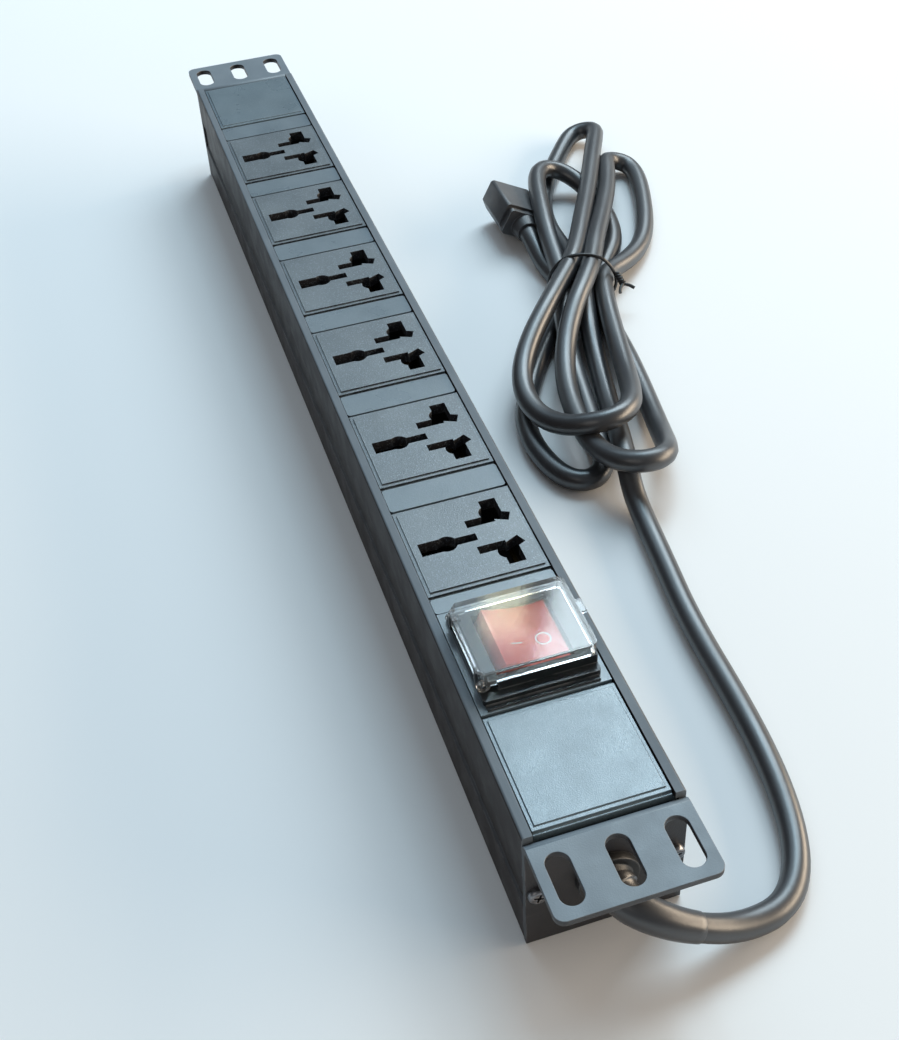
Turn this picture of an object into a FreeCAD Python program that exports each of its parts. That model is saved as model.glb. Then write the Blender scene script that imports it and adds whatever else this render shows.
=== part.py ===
"""A rack power strip: an aluminium channel that holds snap-in modules, with two rack ears and a mains lead.

X runs along the strip towards the lead, Y across it and Z up out of the socket faces.
The origin is the middle of the housing's base. All sizes are in millimetres.
"""

import FreeCAD, Part
import math
import os

Vector = FreeCAD.Vector

# Modules and spacers, by the length that each takes along the channel
socket_count = 6
module_pitch = 40.0
spacer_pitch = 11.0
narrow_spacer_pitch = 6.3
module_gap = 0.3
end_play = 0.65

# Channel section
body_width = 44.4
body_height = 44.4
wall = 2.0
floor_thickness = 2.0
rail_width = 3.0
lip_height = 2.5
groove_height = 1.6
ledge_reach = 4.2
ledge_height = 2.0
side_band_low = 15.5
side_band_high = 28.5
side_band_depth = 0.8
base_corner = 1.2
rail_corner = 0.8
port_radius = 2.3
port_inset = 3.2
port_drop = 21.9
port_bore = 1.45

# Module faces
slide_clearance = 0.1
face_clearance = 0.3
face_drop = 0.6
panel_rise = 0.5
panel_margin_x = 1.3
panel_margin_y = 1.1
step_width = 0.8
step_drop = 0.8
spacer_drop = 0.2
spacer_corner = 1.1
label_rise = 0.4

# Socket apertures, from the socket's centre; the sides are mirror images
pin_inset = 8.8
flat_slot_near = 8.05
flat_slot_far = 14.7
flat_slot_half = 2.7
tall_slot_near = 4.45
tall_slot_far = 7.65
tall_slot_below = 9.5
tall_slot_above = -0.5
leaning_slot_x = 7.0
leaning_slot_rise = 0.5
leaning_slot_width = 3.7
leaning_slot_length = 8.4
leaning_slot_angle = 25.0
round_slot_x = 9.0
round_slot_drop = 1.2
round_slot_radius = 3.1
earth_slot_width = 5.6
earth_slot_low = -15.6
earth_slot_mid = -7.1
earth_neck_width = 3.1
earth_neck_high = 2.4
earth_round_radius = 3.3

# Socket trays, screws and busbars
tray_depth = 15.0
tray_wall = 1.4
tray_floor = 1.5
tray_side_gap = 0.4
tray_end_gap = 0.6
post_x = 14.5
post_y = -4.0
post_radius = 2.5
tray_screw_radius = 1.1
tray_screw_length = 9.0
tray_screw_head_size = 4.0
tray_screw_head_height = 1.4
bore_clearance = 0.05
bar_thickness = 0.8
leaf_thickness = 0.6
leaf_height = 9.5
leaf_gap = 5.6
leaf_length = 5.6
live_bar_width = 1.3
neutral_bar_width = 2.0
earth_bar_width = 5.6
bar_overhang = 4.0
notch_clearance = 0.5

# Rack ears
ear_reach = 24.5
ear_thickness = 2.0
ear_drop = 1.2
ear_bend = 2.6
ear_corner = 3.0
ear_foot_gap = 0.3
slot_length = 15.6
slot_width = 6.5
slot_inset = 11.3
slot_spacing_y = 15.875
ear_screw_radius = 1.4
ear_screw_length = 9.0
ear_screw_clearance = 0.3
ear_screw_head_radius = 2.7
ear_screw_head_height = 1.9

# Switch
bezel_half_x = 17.2
bezel_half_y = 17.0
bezel_flange = 1.9
collar_half_x = 14.2
collar_half_y = 17.2
collar_height = 3.0
well_half_x = 11.1
well_half_y = 11.3
switch_wall = 1.6
switch_body_low = 26.0
switch_pocket_low = 31.0
plate_hole_clearance = 0.5
rocker_gap = 0.3
rocker_pivot_drop = 2.0
rocker_radius = 10.9
rocker_shoulder = 3.0
rocker_end_rise = 7.4
rocker_end_reach = 9.4
rocker_middle_rise = 6.3
rocker_underside = 3.5
rocker_swing = 16.0
rocker_wall = 1.6
trunnion_radius = 1.25
trunnion_length = 1.4
trunnion_clearance = 0.05
terminal_width = 4.8
terminal_length = 8.5
terminal_x = 6.0
terminal_y = 5.5

# Clear flip cover and its hinge
cover_wall = 1.2
cover_height = 4.0
cover_rest_gap = 0.1
cover_half_x = 14.1
cover_half_y = 17.3
cover_round = 2.2
cover_cut = 2.5
hinge_inset = 1.4
hinge_rise = 2.2
hinge_post_near = 10.0
hinge_post_far = 12.6
hinge_post_radius = 1.9
hinge_clearance = 0.3
ear_sweep_radius = 4.1
pin_radius = 0.7
tab_x = -1.6
tab_width = 5.0
tab_reach = 1.8
tab_thickness = 1.1

# Mains lead: gland, cord, hank, tie and plug
cord_radius = 4.0
gland_y = 0.0
gland_drop = 22.2
gland_hole_radius = 6.4
gland_body_radius = 6.3
gland_flange_radius = 8.5
gland_flange = 2.5
gland_nose_length = 1.8
gland_nose_radius = 6.4
gland_tip_radius = 5.2
gland_nut_size = 18.0
gland_nut_height = 4.0
gland_thread_length = 8.0
sheath_end_length = 9.0
wire_radius = 1.4
earth_lug_inset = 34.0
earth_lug_side = 10.2
hank_entry_x = 78.0
hank_levels = (0.1, 9.0, 17.0, 24.8)
hank_waist = 13.4
plug_x = -98.0
plug_y = 95.0
plug_z = 9.3
plug_roll = 152.0
boot_length = 9.0
boot_tip_radius = 4.7
boot_root_radius = 6.0
plug_width = 20.0
plug_height = 14.0
plug_length = 22.0
plug_corner = 1.6
plug_cut = 4.0
plug_wall = 1.5
plug_recess = 13.0
plug_pin_length = 12.0
plug_pin_width = 3.6
plug_pin_thickness = 1.8
plug_pin_spacing = 5.0
plug_pin_step = 1.5
grip_inset = 1.2
grip_length = 3.0

# Places worked out from the sizes above
modules_length = (socket_count + 3) * module_pitch + socket_count * spacer_pitch + narrow_spacer_pitch
housing_length = modules_length + 2 * end_play
end_x = housing_length / 2
half_width = body_width / 2
rail_inner = half_width - rail_width
wall_inner = half_width - wall
ledge_inner = half_width - ledge_reach
lip_low = body_height - lip_height
ledge_top = lip_low - groove_height
ledge_low = ledge_top - ledge_height
rim_z = body_height - face_drop
flange_top = lip_low - slide_clearance
face_half = rail_inner - face_clearance
flange_half = wall_inner - 2 * slide_clearance
port_y = half_width - port_inset
port_height = body_height - port_drop
tray_low = ledge_top - tray_depth
tray_top_of_floor = tray_low + tray_floor
tray_half = ledge_inner - tray_side_gap
ear_top = body_height - ear_drop
slot_x = end_x + ear_reach - slot_inset
gland_z = body_height - gland_drop
pin_line = rail_inner - pin_inset
earth_lug_y = earth_lug_side - half_width


def block(x, y, z):
    """Return a box between the (low, high) pairs x, y and z."""
    return Part.makeBox(x[1] - x[0], y[1] - y[0], z[1] - z[0], Vector(x[0], y[0], z[0]))


def around(centre, half):
    """Return the (low, high) pair that reaches half to each side of centre."""
    return (centre - half, centre + half)


def rod(start, direction, radius, length):
    """Return a cylinder from start along direction."""
    return Part.makeCylinder(radius, length, Vector(*start), Vector(*direction))


def fused(shapes):
    """Return one solid joined from the shapes."""
    return shapes[0].multiFuse(shapes[1:]).removeSplitter()


def outline(corners, place):
    """Return a closed wire through corners (u, v) or (u, v, radius); place turns (u, v) into a point."""
    edges = []
    starts = []
    ends = []
    middles = []
    for index, corner in enumerate(corners):
        here = Vector(corner[0], corner[1], 0)
        before = Vector(*corners[index - 1][:2], 0) - here
        after = Vector(*corners[(index + 1) % len(corners)][:2], 0) - here
        before.normalize()
        after.normalize()
        radius = corner[2] if len(corner) == 3 else 0.0
        half_angle = before.getAngle(after) / 2
        reach = radius / math.tan(half_angle)
        starts.append(here + before * reach)
        ends.append(here + after * reach)
        inward = before + after
        if radius:
            inward.normalize()
            middles.append(here + inward * (radius / math.sin(half_angle) - radius))
        else:
            middles.append(None)
    for index, middle in enumerate(middles):
        if middle is not None:
            points = [place(p.x, p.y) for p in (starts[index], middle, ends[index])]
            edges.append(Part.Arc(*points).toShape())
        leave = ends[index]
        arrive = starts[(index + 1) % len(corners)]
        if (arrive - leave).Length > 1e-6:
            edges.append(Part.LineSegment(place(leave.x, leave.y), place(arrive.x, arrive.y)).toShape())
    return Part.Wire(edges)


def along_x(corners, low, high):
    """Return the (y, z) outline extruded along X from low to high."""
    wire = outline(corners, lambda u, v: Vector(low, u, v))
    return Part.Face(wire).extrude(Vector(high - low, 0, 0))


def along_y(corners, low, high):
    """Return the (x, z) outline extruded along Y from low to high."""
    wire = outline(corners, lambda u, v: Vector(u, low, v))
    return Part.Face(wire).extrude(Vector(0, high - low, 0))


def along_z(corners, low, high):
    """Return the (x, y) outline extruded along Z from low to high."""
    wire = outline(corners, lambda u, v: Vector(u, v, low))
    return Part.Face(wire).extrude(Vector(0, 0, high - low))


def corners_of(u, v, radius=0.0):
    """Return the four corners of a rectangle between the pairs u and v, each with a radius."""
    places = ((u[0], v[0]), (u[1], v[0]), (u[1], v[1]), (u[0], v[1]))
    return [(a, b, radius) if radius else (a, b) for a, b in places]


def hexagon(centre, size, low, high):
    """Return a hexagonal prism of the given size across its flats, along Z."""
    reach = size / math.sqrt(3)
    angles = [math.radians(60 * index) for index in range(6)]
    corners = [(centre[0] + reach * math.cos(a), centre[1] + reach * math.sin(a)) for a in angles]
    return along_z(corners, low, high)


def mirrored(shape):
    """Return the shape mirrored to the far end of the strip."""
    return shape.mirror(Vector(0, 0, 0), Vector(1, 0, 0))


def save(name, *shapes):
    """Write one node from its solids."""
    shape = shapes[0] if len(shapes) == 1 else Part.makeCompound(list(shapes))
    if not shape.isValid():
        print("not valid:", name)
    shape.exportStep(f"parts/{name}.step")


def layout():
    """Return the (low, high) pair along X of each module and spacer, from the lead's end to the far end."""
    kinds = ["label", "switch", "narrow_spacer"]
    for number in range(socket_count, 0, -1):
        kinds += [f"socket_{number}", f"spacer_{number}"]
    kinds.append("blank")
    places = {}
    edge = end_x - end_play
    for kind in kinds:
        pitch = module_pitch
        if kind == "narrow_spacer":
            pitch = narrow_spacer_pitch
        elif kind.startswith("spacer"):
            pitch = spacer_pitch
        places[kind] = (edge - pitch + module_gap / 2, edge - module_gap / 2)
        edge -= pitch
    return places


def housing():
    """Return the extruded channel with its rails, module grooves, side bands and screw ports."""
    right = [
        (half_width, 0, base_corner),
        (half_width, side_band_low),
        (half_width - side_band_depth, side_band_low + side_band_depth),
        (half_width - side_band_depth, side_band_high - side_band_depth),
        (half_width, side_band_high),
        (half_width, body_height, rail_corner),
        (rail_inner, body_height),
        (rail_inner, lip_low),
        (wall_inner, lip_low),
        (wall_inner, ledge_top),
        (ledge_inner, ledge_top),
        (ledge_inner, ledge_low),
        (wall_inner, ledge_low),
        (wall_inner, floor_thickness, base_corner),
    ]
    left = [(-corner[0],) + corner[1:] for corner in reversed(right)]
    channel = along_x(right + left, -end_x, end_x)
    ports = []
    bores = []
    for side in (-1, 1):
        place = (-end_x, side * port_y, port_height)
        ports.append(rod(place, (1, 0, 0), port_radius, housing_length))
        bores.append(rod(place, (1, 0, 0), port_bore, housing_length))
    lug_hole = rod((earth_lug_x(), earth_lug_y, 0.0), (0, 0, 1), 1.7, floor_thickness)
    return fused([channel] + ports).cut(bores + [lug_hole])


def face_plate(x, top):
    """Return a module's face between the pair x: a flange in the grooves and a plate between the rails."""
    flange = block(x, around(0, flange_half), (ledge_top, flange_top))
    plate = block(x, around(0, face_half), (flange_top, top))
    return flange, plate


def rimmed_plate(x, rise):
    """Return a face with stepped ends and a raised middle panel."""
    flange, plate = face_plate(x, rim_z)
    steps = []
    for low in (x[0], x[1] - step_width):
        steps.append(block((low, low + step_width), around(0, face_half), (rim_z - step_drop, rim_z)))
    inset = step_width + panel_margin_x
    panel = block((x[0] + inset, x[1] - inset), around(0, face_half - panel_margin_y), (rim_z, rim_z + rise))
    return fused([flange, plate.cut(steps), panel])


def apertures(centre, low, high):
    """Return the cutter for one socket's three pin openings."""
    cutters = []
    for side in (-1, 1):
        flat = sorted((centre + side * flat_slot_near, centre + side * flat_slot_far))
        tall = sorted((centre + side * tall_slot_near, centre + side * tall_slot_far))
        cutters.append(block(flat, around(pin_line, flat_slot_half), (low, high)))
        tall_y = (pin_line - tall_slot_below, pin_line + tall_slot_above)
        cutters.append(block(tall, tall_y, (low, high)))
        leaning = block(around(0, leaning_slot_width / 2), around(0, leaning_slot_length / 2), (low, high))
        leaning.rotate(Vector(0, 0, 0), Vector(0, 0, 1), side * leaning_slot_angle)
        leaning.translate(Vector(centre + side * leaning_slot_x, pin_line + leaning_slot_rise, 0))
        cutters.append(leaning)
        middle = (centre + side * round_slot_x, pin_line - round_slot_drop, low)
        cutters.append(rod(middle, (0, 0, 1), round_slot_radius, high - low))
    wide = block(around(centre, earth_slot_width / 2), (earth_slot_low, earth_slot_mid), (low, high))
    neck = block(around(centre, earth_neck_width / 2), (earth_slot_mid, earth_neck_high), (low, high))
    bulge = rod((centre, earth_slot_mid, low), (0, 0, 1), earth_round_radius, high - low)
    cutters += [wide, neck, bulge]
    return cutters[0].multiFuse(cutters[1:])


def socket_face(x):
    """Return a socket's face with its pin openings and the two posts that its tray screws to."""
    centre = sum(x) / 2
    face = rimmed_plate(x, panel_rise)
    posts = []
    bores = []
    for side in (-1, 1):
        place = (centre + side * post_x, post_y, tray_top_of_floor)
        posts.append(rod(place, (0, 0, 1), post_radius, ledge_top - tray_top_of_floor))
        bores.append(rod(place, (0, 0, 1), tray_screw_radius + bore_clearance, tray_screw_length))
    return fused([face] + posts).cut(bores + [apertures(centre, ledge_top - 1, body_height + 1)])


def flat_slot_middle():
    """Return the distance from a socket's centre line to the middle of a flat slot."""
    return (flat_slot_near + flat_slot_far) / 2


def earth_contact_y():
    """Return the middle of the earth contact across the strip."""
    return (earth_slot_low + earth_slot_mid) / 2


def live_bar_y():
    """Return the live busbar's (low, high) pair, against the tray's side wall."""
    high = tray_half - tray_wall
    return (high - live_bar_width, high)


def socket_tray(x):
    """Return the insulating tray under one socket, with notches for the busbars and holes for its screws."""
    centre = sum(x) / 2
    outer = (x[0] + tray_end_gap, x[1] - tray_end_gap)
    tray = block(outer, around(0, tray_half), (tray_low, ledge_top))
    inner_x = (outer[0] + tray_wall, outer[1] - tray_wall)
    pocket = block(inner_x, around(0, tray_half - tray_wall), (tray_top_of_floor, ledge_top))
    cutters = [pocket]
    notch_top = tray_top_of_floor + bar_thickness + notch_clearance
    for low, high in (live_bar_y(), around(earth_contact_y(), earth_bar_width / 2)):
        wide = (low - notch_clearance, min(high + notch_clearance, tray_half - tray_wall))
        cutters.append(block(outer, wide, (tray_top_of_floor, notch_top)))
    riser = around(centre - flat_slot_middle(), leaf_length / 2 + notch_clearance)
    riser_y = around(pin_line, neutral_bar_width / 2 + notch_clearance)
    cutters.append(block(riser, riser_y, (tray_low, tray_top_of_floor)))
    for side in (-1, 1):
        place = (centre + side * post_x, post_y, tray_low)
        cutters.append(rod(place, (0, 0, 1), tray_screw_radius + bore_clearance, tray_floor))
    return tray.cut(cutters)


def tray_screws(sockets):
    """Return the screws that hold the trays to the socket faces, two to a socket."""
    screws = []
    for x in sockets:
        for side in (-1, 1):
            place = (sum(x) / 2 + side * post_x, post_y)
            head = hexagon(place, tray_screw_head_size, tray_low - tray_screw_head_height, tray_low)
            shank = rod(place + (tray_low,), (0, 0, 1), tray_screw_radius, tray_screw_length)
            screws.append(fused([head, shank]))
    return screws


def leaf_pair(centre_x, centre_y, across):
    """Return the two spring leaves of a contact, each side of the pin, that stand on the tray's floor."""
    base = tray_top_of_floor
    leaves = []
    for side in (-1, 1):
        inner = side * leaf_gap / 2
        offset = sorted((inner, inner + side * leaf_thickness))
        thin = (offset[0] + (centre_y if across else centre_x), offset[1] + (centre_y if across else centre_x))
        long = around(centre_x if across else centre_y, leaf_length / 2)
        pair = (long, thin) if across else (thin, long)
        leaves.append(block(pair[0], pair[1], (base, base + leaf_height)))
    return leaves


def busbar(sockets, side):
    """Return the live (side 1) or neutral (side -1) busbar with a contact at each socket."""
    run = (sockets[-1][0], sockets[0][1] + bar_overhang)
    base = tray_top_of_floor
    if side > 0:
        pieces = [block(run, live_bar_y(), (base, base + bar_thickness))]
    else:
        across = around(pin_line, neutral_bar_width / 2)
        pieces = [block(run, across, (tray_low - bar_thickness, tray_low))]
    reach = leaf_gap / 2 + leaf_thickness
    for x in sockets:
        middle = sum(x) / 2 + side * flat_slot_middle()
        foot = around(middle, leaf_length / 2)
        high = live_bar_y()[0] if side > 0 else pin_line + reach
        pieces.append(block(foot, (pin_line - reach, high), (base, base + bar_thickness)))
        if side < 0:
            pieces.append(block(foot, around(pin_line, neutral_bar_width / 2), (tray_low, base)))
        pieces += leaf_pair(middle, pin_line, True)
    return fused(pieces)


def earth_busbar(sockets):
    """Return the earth busbar with a contact at each socket."""
    run = (sockets[-1][0], sockets[0][1] + bar_overhang)
    base = tray_top_of_floor
    reach = leaf_gap / 2 + leaf_thickness
    pieces = [block(run, around(earth_contact_y(), earth_bar_width / 2), (base, base + bar_thickness))]
    for x in sockets:
        middle = sum(x) / 2
        foot = block(around(middle, reach), around(earth_contact_y(), leaf_length / 2), (base, base + bar_thickness))
        pieces.append(foot)
        pieces += leaf_pair(middle, earth_contact_y(), False)
    return fused(pieces)


def spacer(x):
    """Return a spacer strip between two modules, with rounded top corners."""
    flange, plate = face_plate(x, rim_z - spacer_drop)
    top = along_z(corners_of(x, around(0, face_half), spacer_corner), flange_top, rim_z - spacer_drop)
    return fused([flange, top.common(plate)])


def end_bracket():
    """Return the bent steel bracket at the lead's end: a plate over the housing's end and the slotted ear."""
    tip = end_x + ear_reach
    section = [
        (end_x, ear_foot_gap),
        (end_x + ear_thickness, ear_foot_gap),
        (end_x + ear_thickness, ear_top - ear_thickness, ear_bend - ear_thickness),
        (tip, ear_top - ear_thickness),
        (tip, ear_top),
        (end_x, ear_top, ear_bend),
    ]
    bent = along_y(section, -half_width, half_width)
    plan = [(end_x, -half_width), (tip, -half_width, ear_corner), (tip, half_width, ear_corner), (end_x, half_width)]
    bent = bent.common(along_z(plan, 0, body_height))
    cutters = []
    for row in (-1, 0, 1):
        run = around(slot_x, slot_length / 2)
        across = around(row * slot_spacing_y, slot_width / 2)
        slot = along_z(corners_of(run, across, slot_width / 2 - 1e-4), ear_top - 2 * ear_thickness, body_height)
        cutters.append(slot)
    for side in (-1, 1):
        place = (end_x, side * port_y, port_height)
        cutters.append(rod(place, (1, 0, 0), ear_screw_radius + ear_screw_clearance, ear_thickness))
    return bent.cut(cutters)


def gland_hole():
    """Return the cutter for the gland's hole in the bracket."""
    return rod((end_x, gland_y, gland_z), (1, 0, 0), gland_hole_radius, ear_thickness)


def end_screws():
    """Return the two screws that hold the bracket at the lead's end."""
    screws = []
    seat = end_x + ear_thickness
    for side in (-1, 1):
        place = (seat, side * port_y, port_height)
        head = rod(place, (1, 0, 0), ear_screw_head_radius, ear_screw_head_height)
        shank = rod(place, (-1, 0, 0), ear_screw_radius, ear_screw_length)
        screws.append(fused([head, shank]))
    return screws


def switch_plate(x):
    """Return the module face that the switch drops into."""
    centre = sum(x) / 2
    flange, plate = face_plate(x, rim_z)
    hole_x = around(centre, well_half_x + switch_wall + plate_hole_clearance)
    hole_y = around(0, well_half_y + switch_wall + plate_hole_clearance)
    return fused([flange, plate]).cut(block(hole_x, hole_y, (ledge_top, rim_z)))


def hinge_y():
    """Return the hinge pin's place across the strip."""
    return hinge_inset - cover_half_y


def hinge_z():
    """Return the hinge pin's height."""
    return rim_z + bezel_flange + hinge_rise


def switch_bezel(centre):
    """Return the black frame on the plate: its flange, the collar round the rocker and the hinge posts."""
    flange_z = rim_z + bezel_flange
    top = flange_z + collar_height
    flange = along_z(corners_of(around(centre, bezel_half_x), around(0, bezel_half_y), 1.0), rim_z, flange_z)
    collar_y = (hinge_y() + 0.9, collar_half_y)
    collar = along_z(corners_of(around(centre, collar_half_x), collar_y, 0.8), flange_z, top)
    cutters = []
    for side in (-1, 1):
        ear_zone = sorted((centre + side * (hinge_post_far + 0.1), centre + side * (collar_half_x + 1)))
        cutters.append(block(ear_zone, (-half_width, hinge_y() + ear_sweep_radius), (flange_z, top)))
    collar = collar.cut(cutters)
    pieces = [flange, collar]
    for side in (-1, 1):
        low = min(centre + side * hinge_post_near, centre + side * hinge_post_far)
        width = hinge_post_far - hinge_post_near
        barrel = rod((low, hinge_y(), hinge_z()), (1, 0, 0), hinge_post_radius, width)
        web = block((low, low + width), (hinge_y() - hinge_post_radius, hinge_y() + 1.5), (flange_z, hinge_z()))
        web = web.common(block((low, low + width), (-bezel_half_y, 0), (flange_z, top)))
        pieces += [barrel, web]
    well = block(around(centre, well_half_x), around(0, well_half_y), (rim_z, top))
    bore = rod((centre - collar_half_x, hinge_y(), hinge_z()), (1, 0, 0), pin_radius + bore_clearance,
               2 * collar_half_x)
    return fused(pieces).cut([well, bore])


def rocker_pivot_z():
    """Return the height of the rocker's trunnions."""
    return rim_z - rocker_pivot_drop


def switch_body(centre):
    """Return the lower half of the switch, with the pocket for the rocker and its two pivot holes."""
    outer_x = around(centre, well_half_x + switch_wall)
    outer_y = around(0, well_half_y + switch_wall)
    body = block(outer_x, outer_y, (switch_body_low, rim_z))
    pocket = block(around(centre, well_half_x), around(0, well_half_y), (switch_pocket_low, rim_z))
    start = centre - rocker_half_x() - trunnion_length - trunnion_clearance
    length = 2 * (rocker_half_x() + trunnion_length + trunnion_clearance)
    bore = rod((start, 0, rocker_pivot_z()), (1, 0, 0), trunnion_radius + trunnion_clearance, length)
    return body.cut([pocket, bore])


def rocker_half_x():
    """Return half of the rocker's width between its trunnions."""
    return well_half_x - rocker_gap


def rocker(centre):
    """Return the rocker in its off position, with its two trunnions and a hollow underside."""
    shoulder_y = math.sqrt(rocker_radius ** 2 - rocker_shoulder ** 2)
    foot_y = math.sqrt(rocker_radius ** 2 - rocker_underside ** 2)
    low_x = centre - rocker_half_x()

    def at(y, z):
        return Vector(low_x, y, rocker_pivot_z() + z)

    edges = [
        Part.LineSegment(at(-foot_y, -rocker_underside), at(foot_y, -rocker_underside)),
        Part.Arc(at(foot_y, -rocker_underside), at(rocker_radius, 0), at(shoulder_y, rocker_shoulder)),
        Part.LineSegment(at(shoulder_y, rocker_shoulder), at(rocker_end_reach, rocker_end_rise)),
        Part.Arc(at(rocker_end_reach, rocker_end_rise), at(0, rocker_middle_rise),
                 at(-rocker_end_reach, rocker_end_rise)),
        Part.LineSegment(at(-rocker_end_reach, rocker_end_rise), at(-shoulder_y, rocker_shoulder)),
        Part.Arc(at(-shoulder_y, rocker_shoulder), at(-rocker_radius, 0), at(-foot_y, -rocker_underside)),
    ]
    section = Part.Face(Part.Wire([edge.toShape() for edge in edges]))
    button = section.extrude(Vector(2 * rocker_half_x(), 0, 0))
    hollow_x = around(centre, rocker_half_x() - rocker_wall)
    hollow_top = rocker_pivot_z() + rocker_middle_rise - 2 * rocker_wall
    hollow_y = around(0, rocker_end_reach - 2 * rocker_wall)
    hollow = block(hollow_x, hollow_y, (rocker_pivot_z() - rocker_underside - 1, hollow_top))
    button = button.cut(hollow)
    start = centre - rocker_half_x() - trunnion_length
    shaft = rod((start, 0, rocker_pivot_z()), (1, 0, 0), trunnion_radius, 2 * (rocker_half_x() + trunnion_length))
    button = fused([button, shaft])
    button.rotate(Vector(centre, 0, rocker_pivot_z()), Vector(1, 0, 0), -rocker_swing / 2)
    return button


def flip_cover(centre):
    """Return the clear cover over the rocker: a shallow lid with two hinge ears and a finger tab."""
    low = rim_z + bezel_flange + collar_height + cover_rest_gap
    top = low + cover_height
    plan = [
        (centre - cover_half_x + cover_cut, -cover_half_y),
        (centre + cover_half_x - cover_cut, -cover_half_y),
        (centre + cover_half_x, -cover_half_y + cover_cut),
        (centre + cover_half_x, cover_half_y, cover_round),
        (centre - cover_half_x, cover_half_y, cover_round),
        (centre - cover_half_x, -cover_half_y + cover_cut),
    ]
    shell = along_z(plan, low, top)
    inner_x = around(centre, cover_half_x - cover_wall)
    inner_y = around(0, cover_half_y - cover_wall)
    cavity = along_z(corners_of(inner_x, inner_y, cover_round - cover_wall), low, top - cover_wall)
    post_room = block(around(centre, hinge_post_far + 0.2), (-cover_half_y, inner_y[0] + 2), (low, top - cover_wall))
    wall_x = around(centre, hinge_post_near - hinge_clearance)
    back_wall = block(wall_x, (-cover_half_y, inner_y[0]), (hinge_z() + 1.2, top - cover_wall))
    lid = shell.cut([cavity, post_room])
    pieces = [lid, back_wall]
    bores = []
    for side in (-1, 1):
        outer = centre + side * cover_half_x
        inner = centre + side * (cover_half_x - cover_wall)
        ear_x = sorted((outer, inner))
        disc = rod((ear_x[0], hinge_y(), hinge_z()), (1, 0, 0), hinge_post_radius, cover_wall)
        neck_y = (hinge_y(), hinge_y() + ear_sweep_radius - hinge_clearance)
        neck = block(ear_x, neck_y, (hinge_z(), low + 0.5))
        pieces += [disc, neck]
        bores.append(rod((ear_x[0], hinge_y(), hinge_z()), (1, 0, 0), pin_radius, cover_wall))
    tab_z = (top - 0.4 - tab_thickness, top - 0.4)
    tab = along_z(corners_of(around(centre + tab_x, tab_width / 2), (cover_half_y - 0.5, cover_half_y + tab_reach)),
                  tab_z[0], tab_z[1])
    pieces.append(tab)
    return fused(pieces).cut(bores)


def hinge_pin(centre):
    """Return the steel pin that the cover turns on."""
    return rod((centre - cover_half_x, hinge_y(), hinge_z()), (1, 0, 0), pin_radius, 2 * cover_half_x)


def terminal_place(centre, side_x, side_y):
    """Return the foot of one of the switch's blade terminals."""
    return Vector(centre + side_x * terminal_x, side_y * terminal_y, switch_body_low - terminal_length)


def terminals(centre):
    """Return the four blade terminals under the switch."""
    blades = []
    for side_x in (-1, 1):
        for side_y in (-1, 1):
            foot = terminal_place(centre, side_x, side_y)
            across = around(foot.y, bar_thickness / 2)
            blades.append(block(around(foot.x, terminal_width / 2), across, (foot.z, switch_body_low)))
    return blades


def gland():
    """Return the strain-relief gland in the bracket, with its flange and tapered nose."""
    seat = end_x + ear_thickness
    thread = rod((end_x - gland_thread_length, gland_y, gland_z), (1, 0, 0), gland_body_radius,
                 gland_thread_length + ear_thickness)
    flange = rod((seat, gland_y, gland_z), (1, 0, 0), gland_flange_radius, gland_flange)
    nose = Part.makeCone(gland_nose_radius, gland_tip_radius, gland_nose_length,
                         Vector(seat + gland_flange, gland_y, gland_z), Vector(1, 0, 0))
    length = gland_thread_length + ear_thickness + gland_flange + gland_nose_length
    bore = rod((end_x - gland_thread_length, gland_y, gland_z), (1, 0, 0), cord_radius + bore_clearance, length)
    return fused([thread, flange, nose]).cut(bore)


def gland_nut():
    """Return the hexagonal nut that holds the gland from inside."""
    points = []
    for index in range(6):
        angle = math.radians(60 * index)
        reach = gland_nut_size / math.sqrt(3)
        points.append((gland_y + reach * math.cos(angle), gland_z + reach * math.sin(angle)))
    nut = along_x(points, end_x - gland_nut_height, end_x)
    bore = rod((end_x - gland_nut_height, gland_y, gland_z), (1, 0, 0), gland_body_radius + bore_clearance,
               gland_nut_height)
    return nut.cut(bore)


def sheath_end():
    """Return the end of the lead's sheath inside the housing, where the three wires leave it."""
    start = end_x - gland_thread_length - sheath_end_length
    return rod((start, gland_y, gland_z), (1, 0, 0), cord_radius, end_x + ear_thickness - start)


def tube(points, radius, name):
    """Return a round tube along straight runs joined by tangent arcs through the points."""
    points = [Vector(*point) for point in points]
    edges = []
    start = points[0]
    length = 0.0
    radii = []
    for before, here, after in zip(points, points[1:], points[2:]):
        back = before - here
        ahead = after - here
        run = min(back.Length, ahead.Length)
        back.normalize()
        ahead.normalize()
        turn = math.pi - back.getAngle(ahead)
        reach = 0.45 * run
        bend = reach / math.tan(turn / 2)
        radii.append(bend)
        enter = here + back * reach
        leave = here + ahead * reach
        inward = back + ahead
        inward.normalize()
        middle = here + inward * (bend / math.cos(turn / 2) - bend)
        edges.append(Part.LineSegment(start, enter).toShape())
        edges.append(Part.Arc(enter, middle, leave).toShape())
        length += (enter - start).Length + bend * turn
        start = leave
    edges.append(Part.LineSegment(start, points[-1]).toShape())
    length += (points[-1] - start).Length
    path = Part.Wire(edges)
    ring = Part.Circle(points[0], points[1] - points[0], radius).toShape()
    solid = path.makePipeShell([Part.Wire([ring])], True, True)
    ratio = solid.Volume / (math.pi * radius ** 2 * length)
    print(f"{name}: length {length:.1f}, volume ratio {ratio:.4f}, radii {[round(r, 1) for r in radii]}")
    return solid


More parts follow.
